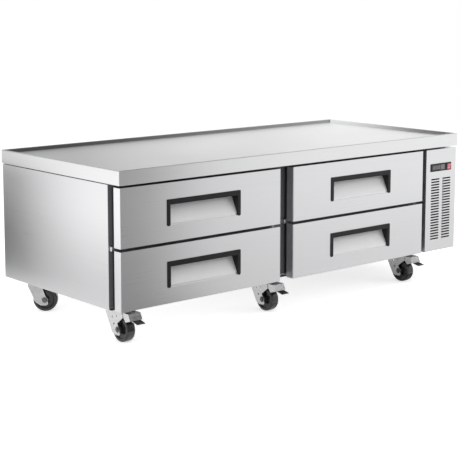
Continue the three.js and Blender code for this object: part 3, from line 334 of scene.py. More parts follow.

# %% [markdown]
# The insulation is poured foam, cream coloured and full of small cells. Where it shows in the narrow
# seam under the worktop, it is painted black above the level of the seam: painted shade of the seam.
# That black is a second colour on the foam and not a piece of its own.

# %% Foam with painted shade in the seam
seam_level = 586 * mm
cell_size = 2 * mm
cell_depth = 0.3 * mm
foam_drifts_per_metre = 6
cream_shades = ((0.55, 0.44, 0.22), (0.80, 0.69, 0.42))
seam_shade_black = (0.006, 0.006, 0.006)


def foam_with_painted_seam_shade():
    finish = Finish("insulating foam")
    cells = finish.noise(finish.place(), scale=1 / cell_size, detail=2)
    drift = finish.noise(finish.place(), scale=foam_drifts_per_metre, detail=3)
    cream = finish.between((cells * 0.5 + drift * 0.5).limited(), *cream_shades)
    # Painted shade: above the seam the foam is painted black, for the shade in the narrow seam.
    shaded = finish.parts(finish.place())[2] > seam_level
    finish.wire_in("Base Color", finish.between(shaded, cream, seam_shade_black))
    finish.wire_in("Roughness", 0.9 - shaded * 0.3 + (cells - 0.5) * 0.1)
    finish.bump(cells, cell_depth)
    return finish.material


foam_finish = foam_with_painted_seam_shade()
print("foam is sealed above", round(seam_level / mm), "mm")

# %% [markdown]
# Caster forks are zinc plated, and the coils are aluminium fins on copper pipe. None of these is brushed:
# a plating bath leaves soft clouds, handling leaves wider stains, and the pressed blank has fine pits.
# Three noises of falling size stand for them, and how far the shades lie apart tells new from worn.

# %% Zinc and aluminium
stains_per_metre = 12
pits_per_metre = 900
pit_depth = 0.03 * mm


def plated(name, color, roughness, contrast=0.13, clouds_per_metre=55):
    finish = Finish(name, Metallic=1.0)
    clouds = finish.noise(finish.place(), scale=clouds_per_metre, detail=4)
    stains = finish.noise(finish.place(), scale=stains_per_metre, detail=2)
    pits = finish.noise(finish.place(), scale=pits_per_metre, detail=1)
    finish.mottled(clouds * 0.8 + stains * 0.6 - 0.2, color, contrast)
    finish.wire_in("Roughness", roughness + (clouds - 0.5) * 0.15)
    finish.bump(pits, pit_depth)
    return finish.material


zinc = plated("bright zinc", (0.70, 0.705, 0.70), 0.28)
# Painted shade: a dark copy of the zinc for the boss, washer, nut and axle end round each axle.
axle_shade_zinc = plated("dark zinc round the axle with painted shade", (0.15, 0.15, 0.155), 0.25)
# Painted shade: a darker copy of the bright zinc for the pressed-in faces of the plain cheeks.
cheek_shade_zinc = plated("pressed cheek zinc with painted shade", (0.52, 0.525, 0.52), 0.3, 0.2)
# Painted shade: darker copies of the zinc for the pedal's face and, darker still, its top and tread.
pedal_face_shade_zinc = plated("pedal face zinc with painted shade", (0.42, 0.42, 0.43), 0.16, 0.75, 130)
pedal_top_shade_zinc = plated("pedal top zinc with painted shade", (0.085, 0.085, 0.09), 0.24)
aluminium = plated("aluminium fins", (0.62, 0.63, 0.64), 0.38)
# Painted shade: the coil behind the louvres is painted black, so that the slots look dark.
shade_black_fins = plated("black fins as painted shade", (0.05, 0.05, 0.055), 0.5)
copper = plated("copper pipe", (0.72, 0.38, 0.25), 0.3)
print("plated finishes made")

# %% [markdown]
# Each solid came with the name of a material slot. A table from slot to finish dresses all of them at
# once, so a solid that nothing new stands for is finished too.

# %% The finish of each slot
finish_of_slot = {
    "stainless": stainless,
    "inner_steel": inner_steel,
    "foam": foam_finish,
    "dark_frame": dark_frame,
    "black_plastic": black_plastic,
    "grey_plastic": case_plastic,
    "red_plastic": red_plastic,
    "gasket": gasket_rubber,
    "wheel": tread_rubber,
    "zinc": zinc,
    "black_enamel": enamel,
    "aluminium": aluminium,
}
slot_of = {part["node"]: part["material_slot"] for part in frame["record"]["subparts"]}
for name, node in frame["nodes"].items():
    node.data.materials.clear()
    node.data.materials.append(finish_of_slot[slot_of[name]])
print("finished:", len(slot_of), "solids")

# %% [markdown]
# A solid from the frame has the right shape, but every edge of it is as sharp as a knife, and light
# never catches on it. Real sheet is bent round a tool and real mouldings have a small radius. Where
# the solid's shape is right, a welded copy stands for it: its loose triangles are joined, its flat
# faces made whole again, and its edges rounded. That keeps every size and adds the glint of an edge.

# %% Welded copies with rounded edges
weld = 0.01 * mm
smallest_edge = 0.1 * mm
merged = 0.001 * mm
flat_within = math.radians(0.3)
edge_from = math.radians(25)


def turn_between_faces(edge):
    return edge.calc_face_angle() if len(edge.link_faces) == 2 else 0.0


def welded(node):
    bm = bmesh.new()
    bm.from_mesh(frame["nodes"][node].data)
    bmesh.ops.remove_doubles(bm, verts=bm.verts, dist=smallest_edge)
    bmesh.ops.dissolve_limit(bm, angle_limit=flat_within, verts=bm.verts, edges=bm.edges)
    return bm


def bevelled(bm, parts, radius, segments, affect="EDGES"):
    bmesh.ops.bevel(bm, geom=list(parts), offset=radius, offset_type="OFFSET", affect=affect,
                    segments=segments, profile=0.5, material=-1, clamp_overlap=True)
    return bm


def rounded(bm, radius, segments=2, chosen=None):
    edges = [e for e in bm.edges if turn_between_faces(e) > edge_from and (chosen is None or chosen(e))]
    return bevelled(bm, edges, radius, segments)


def sliced(bm, place, way, **settings):
    whole = list(bm.verts) + list(bm.edges) + list(bm.faces)
    return bmesh.ops.bisect_plane(bm, geom=whole, plane_co=place, plane_no=way, **settings)["geom_cut"]


def edges_in(parts):
    return [part for part in parts if isinstance(part, bmesh.types.BMEdge)]


def added(bm, other):
    carrier = bpy.data.meshes.new("carrier")
    other.to_mesh(carrier)
    other.free()
    bm.from_mesh(carrier)
    bpy.data.meshes.remove(carrier)


print("edges are rounded where faces turn by more than", round(math.degrees(edge_from)), "degrees")

# %% [markdown]
# Every piece ends in the same few steps. Stray points are merged, the faces are smoothed up to the sharp
# edges, and the mesh becomes an object that rides on a body of the frame and stands for its solid. The
# Weighted Normal modifier keeps a wide face flat right up to a rounded edge, so that sheet looks crisp.

# %% A finished piece
def object_of(name, bm):
    mesh = bpy.data.meshes.new(name)
    bm.to_mesh(mesh)
    bm.free()
    made = bpy.data.objects.new(name, mesh)
    bpy.context.scene.collection.objects.link(made)
    return made


def piece(bm, name, body, finishes, stands_for=(), smooth_to=math.radians(40)):
    bmesh.ops.remove_doubles(bm, verts=bm.verts, dist=merged)
    bmesh.ops.dissolve_degenerate(bm, dist=merged, edges=bm.edges)
    for face in bm.faces:
        face.smooth = True
    for edge in bm.edges:
        edge.smooth = turn_between_faces(edge) < smooth_to
    made = object_of(name, bm)
    for finish in finishes:
        made.data.materials.append(finish)
    flat_faces = made.modifiers.new("flat faces stay flat", "WEIGHTED_NORMAL")
    flat_faces.keep_sharp = True
    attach(made, body)
    if stands_for:
        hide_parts(*stands_for)
    return made


def dressed(node, radius, name, segments=2, finishes=None, sort=None):
    bm = rounded(welded(node), radius, segments)
    finishes = finishes or [finish_of_slot[slot_of[node]]]
    if sort:
        for face in bm.faces:
            face.material_index = finishes.index(sort(face.calc_center_median(), face.normal))
    return piece(bm, name, rides_on[node], finishes, [node])


print("tools for pieces ready")

# %% [markdown]
# The worktop is one sheet, folded up to a marine edge that keeps spills on the table, then over and
# down into a deep apron with a hem. Here it is folded in the same order: a flat floor, whose outer
# edge is extruded again and again, once for each step of each bend, from a short list of the bend's
# centres and radii. Only then does the sheet get its thickness.

# %% Worktop
low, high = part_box("worktop")
sheet = 2 * mm
rim_height = 13 * mm
rim_width = 9 * mm
rim_slope = 9 * mm
hem_width = 14 * mm
corner_radius = 4 * mm
corner_steps = 4
bend_radius = 2.5 * mm
bend_steps = 3
floor_margin = 2 * mm
crown_drop = 0.8 * mm
crown_width = 0.5 * mm


def bend(inset, level, radius, start, stop):
    angles = [math.radians(start + (stop - start) * i / bend_steps) for i in range(bend_steps + 1)]
    return [(inset - radius * math.cos(a), level + radius * math.sin(a)) for a in angles]


def folded_tray(low, high, first_inset, path):
    bm = bmesh.new()
    middle = (low + high) / 2
    half = (high - low) / 2
    width = Matrix.Diagonal((2 * (half.x - first_inset), 2 * (half.y - first_inset), 1, 1))
    place = Matrix.Translation((middle.x, middle.y, path[0][1]))
    bmesh.ops.create_grid(bm, x_segments=1, y_segments=1, size=0.5, matrix=place @ width)
    bevelled(bm, bm.verts, corner_radius, corner_steps, "VERTICES")
    inset, level = path[0]
    rim = list(bm.edges)
    for next_inset, next_level in path[1:]:
        made = bmesh.ops.extrude_edge_only(bm, edges=rim)["geom"]
        rim = [edge for edge in edges_in(made) if edge.is_boundary]
        out = inset - next_inset
        for vert in {vert for edge in rim for vert in edge.verts}:
            vert.co.x += out * math.copysign(1, vert.co.x - middle.x)
            vert.co.y += out * math.copysign(1, vert.co.y - middle.y)
            vert.co.z += next_level - level
        inset, level = next_inset, next_level
    return bm


top, floor_level, bottom = high.z, high.z - rim_height, low.z
foot = rim_width + rim_slope + bend_radius
worktop_path = (
    [(foot + floor_margin, floor_level), (foot, floor_level)]
    + [(rim_width + bend_radius * 0.6, top - crown_drop), (rim_width - crown_width, top)]
    + bend(bend_radius, top - bend_radius, bend_radius, 90, 0)
    + bend(bend_radius, bottom + bend_radius, bend_radius, 0, -90)
    + [(hem_width, bottom)]
)
bm = folded_tray(low, high, worktop_path[0][0], worktop_path)
bmesh.ops.recalc_face_normals(bm, faces=bm.faces)
if max(bm.faces, key=lambda face: face.calc_area()).normal.z < 0:
    bmesh.ops.reverse_faces(bm, faces=bm.faces)
bmesh.ops.solidify(bm, geom=list(bm.faces), thickness=sheet)
piece(bm, "worktop_sheet", "root", [worktop_steel], ["worktop"])
print("worktop: apron", round((top - bottom) / mm), "mm deep, floor", round(floor_level / mm), "mm up")

# %% [markdown]
# Each drawer front is a folded stainless box with foam inside, closed at the back by a dark moulded
# liner. Its face turns into the returns with a small radius. The liner and the black ends of the hand
# pocket are part of the same solid, so the copy sorts its faces by where they lie and how they look.

# %% Drawer fronts and handles
drawers = [f"{level}_{column}_drawer" for level in ("lower", "upper") for column in ("left", "right")]
return_depth = 39 * mm
face_bend = 1.6 * mm
lip_radius = 1.2 * mm
grip_radius = 0.2 * mm
front_finishes = [stainless, liner_plastic_and_shade, lit_return_steel, black_plastic, pocket_steel]


def front_finish(drawer):
    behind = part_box(f"{drawer}_front")[0].y + return_depth - 0.5 * mm
    low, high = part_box(f"{drawer}_handle")

    def sort(centre, normal):
        if centre.y > behind:
            return liner_plastic_and_shade
        if abs(normal.x) > 0.9:
            # Returns away from the handle take the lighter steel: painted light.
            return black_plastic if low.x < centre.x < high.x else lit_return_steel
        in_pocket = normal.z > 0.3 and low.z < centre.z < high.z
        return pocket_steel if in_pocket else stainless

    return sort


for drawer in drawers:
    dressed(f"{drawer}_front", face_bend, f"{drawer}_face", 3, front_finishes, front_finish(drawer))
    handle = f"{drawer}_handle"
    bm = welded(handle)
    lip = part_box(handle)[0].y + weld
    rounded(bm, lip_radius, 4, lambda edge: all(vert.co.y < lip for vert in edge.verts))
    rounded(bm, grip_radius, 1)
    piece(bm, f"{drawer}_grip", rides_on[handle], [black_plastic], [handle])
print("drawer fronts:", len(drawers))

# %% [markdown]
# A magnetic gasket seals each drawer. In section it is a bellows: a dart that snaps into the liner, a
# soft pleat, and a square tube for the magnet that meets the frame. The section is carried round the
# drawer as closed rings with mitred corners, each ring bridged to the next.

# %% Gaskets
seal_section_shares = [(0.30, 0.0), (0.30, 0.12), (0.0, 0.20), (0.0, 0.34), (0.22, 0.42), (0.22, 0.50),
                       (0.0, 0.58), (0.0, 0.92), (0.08, 1.0), (0.92, 1.0), (1.0, 0.92), (1.0, 0.58),
                       (0.78, 0.50), (0.78, 0.42), (1.0, 0.34), (1.0, 0.20), (0.70, 0.12), (0.70, 0.0)]
seal_width = 14 * mm
seal_radius = 0.5 * mm


def ring(bm, low, high, inset, depth):
    corners = [(low.x + inset, low.z + inset), (high.x - inset, low.z + inset),
               (high.x - inset, high.z - inset), (low.x + inset, high.z - inset)]
    verts = [bm.verts.new((x, depth, z)) for x, z in corners]
    return [bm.edges.new((verts[i], verts[(i + 1) % 4])) for i in range(4)]


for drawer in drawers:
    gasket = f"{drawer}_gasket"
    low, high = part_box(gasket)
    bm = bmesh.new()
    rings = [ring(bm, low, high, across * seal_width, low.y + along * (high.y - low.y))
             for across, along in seal_section_shares]
    for first, second in zip(rings, rings[1:] + rings[:1]):
        bmesh.ops.bridge_loops(bm, edges=first + second)
    bmesh.ops.recalc_face_normals(bm, faces=bm.faces)
    rounded(bm, seal_radius, 1)
    piece(bm, f"{drawer}_seal", rides_on[gasket], [gasket_rubber], [gasket])
print("gaskets with", len(seal_section_shares), "creases each")

# %% [markdown]
# The wheels turn on their axles, and like any turned part they are one section spun about a line: a
# crowned rubber tread with rounded shoulders, a recessed web and a hub. The web is a harder and
# slightly darker plastic than the tread, so the faces inside the tyre get their own finish.

# %% Wheels
wheel_radius = 49 * mm
tread_half = 19 * mm
web_radius = 37 * mm
hub_radius = 15 * mm
hub_half = 25.2 * mm
axle_radius = 6.6 * mm
spin_steps = 56
wheel_smooth_to = math.radians(50)
wheel_side = [  # radius and half width, from the axle out to the middle of the tread
    (axle_radius, hub_half), (hub_radius - 1 * mm, hub_half), (hub_radius, hub_half - 1 * mm),
    (hub_radius + 1.5 * mm, tread_half - 5 * mm), (web_radius - 3 * mm, tread_half - 4.5 * mm),
    (web_radius - 1 * mm, tread_half - 1 * mm), (web_radius + 1 * mm, tread_half - 0.5 * mm),
    (web_radius + 4 * mm, tread_half), (wheel_radius - 5 * mm, tread_half - 0.3 * mm),
    (wheel_radius - 2 * mm, tread_half - 2 * mm), (wheel_radius - 0.6 * mm, tread_half - 5 * mm),
    (wheel_radius, tread_half - 10 * mm),
]
wheel_section = wheel_side + [(radius, -x) for radius, x in reversed(wheel_side)]


def spun(section, axis, centre, steps=spin_steps):
    bm = bmesh.new()
    side = axis.orthogonal().normalized()
    verts = [bm.verts.new(centre + side * radius + axis * x) for radius, x in section]
    edges = [bm.edges.new((first, second)) for first, second in zip(verts, verts[1:] + verts[:1])]
    bmesh.ops.spin(bm, geom=verts + edges, cent=centre, axis=axis, angle=math.tau, steps=steps,
                   use_merge=True)
    bmesh.ops.remove_doubles(bm, verts=bm.verts, dist=weld)
    bmesh.ops.recalc_face_normals(bm, faces=bm.faces)
    return bm


joint_of = {joint["child"]: joint for joint in frame["joints"]}
casters = [f"{end}_{column}" for end in ("front", "rear") for column in ("left", "middle", "right")]
for caster in casters:
    node = f"{caster}_wheel"
    low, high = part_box(node)
    centre = (low + high) / 2
    axis = Vector(joint_of[rides_on[node]]["axis"]).normalized()
    bm = spun(wheel_section, axis, centre)
    for face in bm.faces:
        away = face.calc_center_median() - centre
        out = (away - axis * away.dot(axis)).length
        face.material_index = int(out < web_radius + 0.2 * mm)
    piece(bm, f"{caster}_tyre_and_core", rides_on[node], [tread_rubber, core_plastic], [node],
          wheel_smooth_to)
print("wheels:", len(casters), "of", round(2 * wheel_radius / mm), "mm")

# %% [markdown]
# Each caster's fork is one steel pressing, bent down on both sides of the wheel and zinc plated. The
# solid has the right outline, but plain nuts and a crown as sharp as a block. Two cuts, one along each
# cheek, take the nuts off and leave the cheeks as clean faces. Then the crown gets the wide bend of a
# press tool. All of it is measured from the caster's own swivel: across, ahead and up.

# %% A caster's own directions
fork_outer = 28.5 * mm
caster_trail = 42 * mm
axle_level = wheel_radius


def caster_place(caster):
    low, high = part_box(f"{caster}_wheel")
    axle = Vector(joint_of[rides_on[f"{caster}_wheel"]]["axis"]).normalized()
    ahead = axle.cross(Vector((0, 0, 1)))
    swivel = (low + high) / 2 - ahead * caster_trail
    columns = Matrix((-axle, ahead, Vector((0, 0, 1)))).transposed().to_4x4()
    return Matrix.Translation((swivel.x, swivel.y, 0)) @ columns


def placed(bm, place):
    bmesh.ops.transform(bm, matrix=place, verts=bm.verts)
    return bm


for caster in casters:
    print(caster, "swivels at", [round(v / mm) for v in caster_place(caster).translation.xy])

# %% [markdown]
# The holes in the braked cheeks are what is left of the press tool's pilots. A hole is a cut by another
# shape, which no bmesh operator makes, so a Boolean modifier cuts it: both shapes become objects for a
# moment, Blender works out the cut, and only its result is kept. A plain cheek is pressed in inside a
# stiff rim instead: one inset draws the rim, a second its inner edge, and the face left moves inwards.

# %% Cutting, pressing and drilling a fork
cheek_skin = 0.02 * mm
leftover = 0.2 * mm
crown_bend = 3 * mm
fork_edge = 0.5 * mm
rim_band = 3.2 * mm
pressed_in = 1.1 * mm
pilot_holes = ((12 * mm, 92 * mm), (37 * mm, 100 * mm), (20 * mm, 67 * mm))
pilot_radius = 3.4 * mm
drill_length = 80 * mm


def without_nuts(bm):
    for side in (1, -1):
        cut = sliced(bm, (side * (fork_outer - cheek_skin), 0, 0), (side, 0, 0), clear_outer=True)
        bmesh.ops.edgeloop_fill(bm, edges=edges_in(cut))
    bmesh.ops.remove_doubles(bm, verts=bm.verts, dist=leftover)
    bmesh.ops.dissolve_limit(bm, angle_limit=flat_within, verts=bm.verts, edges=bm.edges)
    bmesh.ops.recalc_face_normals(bm, faces=bm.faces)
    outside = fork_outer - smallest_edge
    flat = [face for face in bm.faces if abs(face.normal.x) > 0.99]
    return [face for face in flat if abs(face.calc_center_median().x) > outside]


def press_in(bm, cheeks):
    bmesh.ops.inset_region(bm, faces=cheeks, thickness=rim_band, use_even_offset=True)
    for cheek in cheeks:
        # The face left inside the rim takes the darker zinc: painted shade of the hollow.
        cheek.material_index = 1
        bmesh.ops.inset_region(bm, faces=[cheek], thickness=pressed_in, use_even_offset=True)
        for vert in cheek.verts:
            vert.co.x -= math.copysign(pressed_in, vert.co.x)


def along_axle(start, length, ahead, level):
    middle = Matrix.Translation((start + length / 2, ahead, level))
    return middle @ Matrix.Rotation(math.pi / 2, 4, "Y")


def drilled(bm):
    drill = bmesh.new()
    for ahead, level in pilot_holes:
        bmesh.ops.create_cone(drill, cap_ends=True, segments=20, radius1=pilot_radius,
                              radius2=pilot_radius, depth=drill_length,
                              matrix=along_axle(-drill_length / 2, drill_length, ahead, level))
    work, tool = object_of("work", bm), object_of("drill", drill)
    cut = work.modifiers.new("drill", "BOOLEAN")
    cut.operation, cut.solver, cut.object = "DIFFERENCE", "EXACT", tool
    result = bmesh.new()
    result.from_object(work, bpy.context.evaluated_depsgraph_get())
    for obj in (work, tool):
        bpy.data.meshes.remove(obj.data)
    return result


for caster in casters:
    node = f"{caster}_caster_fork"
    braked = caster.startswith("front")
    place = caster_place(caster)
    bm = placed(welded(node), place.inverted())
    cheeks = without_nuts(bm)
    if not braked:
        press_in(bm, cheeks)
    crown_top = max(vert.co.z for vert in bm.verts)
    rounded(bm, crown_bend, 4, lambda edge: all(crown_top - v.co.z < weld and abs(v.co.x) > fork_outer - mm
                                                for v in edge.verts))
    rounded(bm, fork_edge, 2)
    if braked:
        bm = drilled(bm)
    piece(placed(bm, place), f"{caster}_pressed_fork", rides_on[node], [zinc, cheek_shade_zinc], [node])
print("forks:", len(casters), "with", len(pilot_holes), "pilot holes in each braked cheek")

# %% [markdown]
# On the outside of each cheek sit the things that a hand would tighten: a pressed boss, a washer, a
# six-sided nut with turned-off corners, and the end of the axle bolt. A braked fork also shows the
# heads of the pedal's pin. Each is a short cone with its outer rim bevelled. It is made in a mesh of its
# own and then added to the rest, which keeps the order of its points the same in every run.

# %% Nuts, washers and pin heads
stack = [  # radius, start, length, sides, bevel
    (12.2 * mm, 28.2 * mm, 1.1 * mm, 36, 0.5 * mm),
    (9.6 * mm, 29.2 * mm, 0.9 * mm, 32, 0.2 * mm),
    (8.4 * mm, 30.0 * mm, 3.6 * mm, 6, 0.9 * mm),
    (4.0 * mm, 33.5 * mm, 0.9 * mm, 20, 0.3 * mm),
]
pin_head = (5.2 * mm, 28.2 * mm, 1.5 * mm, 24, 0.6 * mm)
pin_place = (66 * mm, 112 * mm)
axle_shade_reach = 9 * mm
plate_edge = 0.6 * mm


def short_cone(bm, place, radius, length, sides, bevel, reach):
    cone = bmesh.new()
    bmesh.ops.create_cone(cone, cap_ends=True, segments=sides, radius1=radius, radius2=radius,
                          depth=length, matrix=place)
    end = max(reach(vert.co) for vert in cone.verts)
    rim = [edge for edge in cone.edges if all(end - reach(vert.co) < weld for vert in edge.verts)]
    added(bm, bevelled(cone, rim, bevel, 2))


def stud(bm, radius, start, length, sides, bevel, ahead, level):
    for side in (-1, 1):
        first = min(side * start, side * (start + length))
        short_cone(bm, along_axle(first, length, ahead, level), radius, length, sides, bevel,
                   lambda point: abs(point.x))


for caster in casters:
    bm = bmesh.new()
    for sizes in stack:
        stud(bm, *sizes, caster_trail, axle_level)
    if caster.startswith("front"):
        stud(bm, *pin_head, *pin_place)
    # Faces within reach of the axle take the dark zinc: painted shade round the axle.
    for face in bm.faces:
        from_axle = (face.calc_center_median() - Vector((0, caster_trail, axle_level))).yz.length
        face.material_index = int(from_axle < axle_shade_reach)
    body = rides_on[f"{caster}_caster_fork"]
    piece(placed(bm, caster_place(caster)), f"{caster}_axle_nuts", body, [zinc, axle_shade_zinc])
    dressed(f"{caster}_caster_plate", plate_edge, f"{caster}_swivel_plate")
print("nuts and washers:", len(stack), "parts a side")

# %% [markdown]
# The brake pedal is a bent channel that a shoe tips. Its cheeks keep their bright zinc, while its face
# is painted a darker zinc and its top and tread darker still: painted shade under the cabinet. Ribs
# pressed into the tread stop the shoe from slipping. They lie along the tread's slope, so one rib is
# made flat and then laid on the slope three times.

# %% Pedals
tread_start = Vector((0, 120 * mm, 94 * mm))
tread_end = Vector((0, 149 * mm, 87 * mm))
rib_places = (0.28, 0.5, 0.72)
rib_size = (31 * mm, 2.6 * mm, 1.6 * mm)
pedal_edge = 0.6 * mm


# Sorted by which way a face looks: cheeks bright, face and top darker, as painted shade.
def pedal_shade_finish(centre, normal):
    if abs(normal.x) > 0.7:
        return zinc
    return pedal_top_shade_zinc if normal.z > 0.6 else pedal_face_shade_zinc


for place in ("left", "middle", "right"):
    node = f"front_{place}_brake_pedal"
    dressed(node, pedal_edge, f"front_{place}_pressed_pedal", 2, [zinc, pedal_face_shade_zinc, pedal_top_shade_zinc], pedal_shade_finish)
    bm = bmesh.new()
    slope = tread_end - tread_start
    lean = Matrix.Rotation(math.atan2(slope.z, slope.y), 4, "X")
    for share in rib_places:
        at = Matrix.Translation(tread_start + slope * share)
        bmesh.ops.create_cube(bm, size=1, matrix=at @ lean @ Matrix.Diagonal((*rib_size, 1)))
    rounded(bm, pedal_edge, 3)
    piece(placed(bm, caster_place(f"front_{place}")), f"front_{place}_pedal_ribs", rides_on[node],
          [pedal_top_shade_zinc])
print("ribs on each tread:", len(rib_places))

# %% [markdown]
# The shell and the covers are bent from the same sheet as the drawers, so their solids only need the
# small outer radius of a bend. Their faces inside the unit, seen through the louvres, take the liner's
# dark plastic as painted shade. The dark frame behind the drawers is moulded, with a bright rail
# clipped to it behind the gap between two drawers. Inside the drawer columns the rail is painted in
# the frame's dark colour as painted shade, and only its ends keep the steel. The sheet of the floor
# is turned up over the frame's foot.

# %% Shell, frame and covers
frame_face = -324.1 * mm
foot_level = 147 * mm
unit_left = 740 * mm
partition = 5 * mm
inner_side = 917 * mm
slots_middle = 822 * mm
slots_reach = 80 * mm
slots_low, slots_high = 150 * mm, 480 * mm


# Painted shade: the partition and the inner face of the right side, seen through the louvres, take the
# liner's dark plastic.
def shell_finish(centre, normal):
    on_partition = normal.x > 0.9 and 0 < centre.x - unit_left < partition
    on_side = normal.x < -0.9 and centre.x > inner_side
    return liner_plastic_and_shade if on_partition or on_side else stainless


# Painted shade: the inside of the cover and the edges of its slots take the liner's dark plastic.
def cover_finish(centre, normal):
    inside = normal.y > 0.9 or (normal.x < -0.9 and centre.x > inner_side)
    by_slots = abs(centre.x - slots_middle) < slots_reach and slots_low < centre.z < slots_high
    return liner_plastic_and_shade if inside or (by_slots and normal.y > -0.9) else stainless


dressed("outer_shell", 0.8 * mm, "shell_panels", 3, [stainless, liner_plastic_and_shade], shell_finish)
bm = welded("front_frame")
sliced(bm, (0, 0, foot_level), (0, 0, 1))
columns = [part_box(f"{drawer}_front") for drawer in ("lower_left_drawer", "lower_right_drawer")]
for low, high in columns:
    sliced(bm, (low.x, 0, 0), (1, 0, 0))
    sliced(bm, (high.x, 0, 0), (1, 0, 0))
# Painted shade: the rail takes the frame's dark plastic inside the drawer columns, where the gap is in
# shade, and keeps its steel only at its ends.
for face in bm.faces:
    centre = face.calc_center_median()
    beside = not any(low.x < centre.x < high.x for low, high in columns)
    rail_end = beside and centre.y < frame_face - weld
    face.material_index = int(rail_end or (centre.z < foot_level and face.normal.y < -0.9))
rounded(bm, 0.8 * mm, 2)
piece(bm, "dark_front_frame", "root", [dark_frame, stainless], ["front_frame"])
dressed("unit_front_cover", 0.5 * mm, "louvred_cover", 1, [stainless, liner_plastic_and_shade], cover_finish)
dressed("unit_back_cover", 0.5 * mm, "back_cover_sheet", 1)
dressed("cable_gland", 0.5 * mm, "gland_body", 2)
dressed("control_panel", 0.5 * mm, "fascia", 3)
dressed("thermostat", 0.6 * mm, "controller_case", 3)
dressed("power_switch", 0.7 * mm, "rocker", 3)
print("frame's foot is", round(foot_level / mm), "mm up")

# %% [markdown]
# The controller is a small digital thermostat. Its recess holds a smoked pane over unlit figures, each
# built from seven bars, and beside it a membrane covers four keys. The bars say nothing while the
# cabinet is off, so they stand only a shade above the pane.

# %% Controller window and keys
window_floor = -387.1 * mm
case_face = -388.6 * mm
pane_edges = (765.4 * mm, 815.3 * mm, 496.4 * mm, 513.6 * mm)      # left, right, low, high
pane_thickness = 0.5 * mm
sunk_in = 0.05 * mm
membrane_edges = (817 * mm, 843.4 * mm, 493.6 * mm, 516.4 * mm)
key_columns, key_rows = (823.8 * mm, 836.6 * mm), (499.4 * mm, 510.6 * mm)
key_size = (4.6 * mm, 3.6 * mm)
figures_at = (778 * mm, 788 * mm, 798 * mm)
figures_level = 505 * mm
light_at = 808.2 * mm
light_half = 1.2 * mm
bar = 4.2 * mm
stroke = 0.9 * mm
figure_bars = [(0, bar, 0), (0, 0, 0), (0, -bar, 0), (bar / 2, bar / 2, 1), (-bar / 2, bar / 2, 1),
               (bar / 2, -bar / 2, 1), (-bar / 2, -bar / 2, 1)]


def plate_on(bm, left, right, low, high, back, thickness, corner):
    middle = Matrix.Translation(((left + right) / 2, back - thickness / 2, (low + high) / 2))
    stretch = Matrix.Diagonal((right - left, thickness, high - low, 1))
    made = set(bmesh.ops.create_cube(bm, size=1, matrix=middle @ stretch)["verts"])
    edges = [edge for edge in bm.edges if made.issuperset(edge.verts)]
    bevelled(bm, [e for e in edges if abs(e.verts[0].co.y - e.verts[1].co.y) > thickness / 2], corner, 3)


def edges_round(x, z, half_width, half_height):
    return x - half_width, x + half_width, z - half_height, z + half_height


bm = bmesh.new()
plate_on(bm, *pane_edges, window_floor, pane_thickness, 1 * mm)
piece(bm, "display_pane", "root", [pane])

bm = bmesh.new()
on_pane = window_floor - pane_thickness + sunk_in
for middle in figures_at:
    for across, up, upright in figure_bars:
        half = (stroke / 2, bar * 0.42) if upright else (bar * 0.42, stroke / 2)
        plate_on(bm, *edges_round(middle + across, figures_level + up, *half), on_pane, 0.12 * mm, 0.2 * mm)
plate_on(bm, *edges_round(light_at, figures_level, light_half, light_half), on_pane, 0.2 * mm, 1.1 * mm)
piece(bm, "unlit_figures", "root", [case_plastic])

bm = bmesh.new()
plate_on(bm, *membrane_edges, case_face + 0.1 * mm, 0.3 * mm, 1.2 * mm)
for x in key_columns:
    for z in key_rows:
        plate_on(bm, *edges_round(x, z, *key_size), case_face - 0.1 * mm, 0.35 * mm, 1.6 * mm)
piece(bm, "key_membrane", "root", [membrane])
print("figures of", len(figure_bars), "bars, and 4 keys")

# %% [markdown]
# The rocker carries the two usual marks of a switch, a bar for on and a ring for off, moulded in white.
# Its face is a shallow V, and the whole rocker leans seven degrees at rest, so each mark is made flat
# at the origin, tipped with its half of the V, and then leaned with the rocker.

# %% Marks on the rocker
rocker_centre = Vector((871 * mm, -386.1 * mm, 505 * mm))
rocker_lean = Matrix.Rotation(math.radians(7), 4, "X")
half_turn = math.radians(7)
mark_depth = 5.3 * mm
mark_height = 6.1 * mm
mark_half = 0.2 * mm
ring_inner, ring_outer = 1.9 * mm, 2.7 * mm
line_size = (1 * mm, 2 * mark_half, 5.4 * mm)


def on_rocker(side):
    rocker = Matrix.Translation(rocker_centre) @ rocker_lean
    step = Matrix.Translation((0, -mark_depth, side * mark_height))
    return rocker @ step @ Matrix.Rotation(side * half_turn, 4, "X")


ring_section = [(ring_inner, -mark_half), (ring_outer, -mark_half), (ring_outer, mark_half),
                (ring_inner, mark_half)]
bm = placed(spun(ring_section, Vector((0, 1, 0)), Vector((0, 0, 0)), 24), on_rocker(-1))
line = bmesh.new()
bmesh.ops.create_cube(line, size=1, matrix=Matrix.Diagonal((*line_size, 1)))
added(bm, placed(rounded(line, 0.1 * mm, 1), on_rocker(1)))
piece(bm, "rocker_marks", "rocker", [white_plastic])
print("rocker marks at", round(mark_height / mm, 1), "mm from its middle")

# %% [markdown]
# Inside, the racks and rails are the same steel with a duller brushing. Each drawer runs on four nylon
# rollers, two at the front of its racks and two at the back of its pan frame. They belong to the same
# solids as the steel, so they are found by how far a face lies from the roller's middle.

# %% Inside
roller_reach = 9.4 * mm
roller_width = 9.8 * mm
front_roller = -300.1 * mm
rear_roller_inset = 11 * mm
rear_roller_rise = 15.3 * mm
front_roller_rise = 146 * mm
rail_finishes = [inner_steel, white_plastic]


def roller_finish(places, ends=None):
    def sort(centre, normal):
        at_end = ends is None or min(centre.x - ends[0], ends[1] - centre.x) < roller_width
        on_roller = any(math.dist(centre.yz, place) < roller_reach for place in places)
        return white_plastic if at_end and on_roller else inner_steel

    return sort


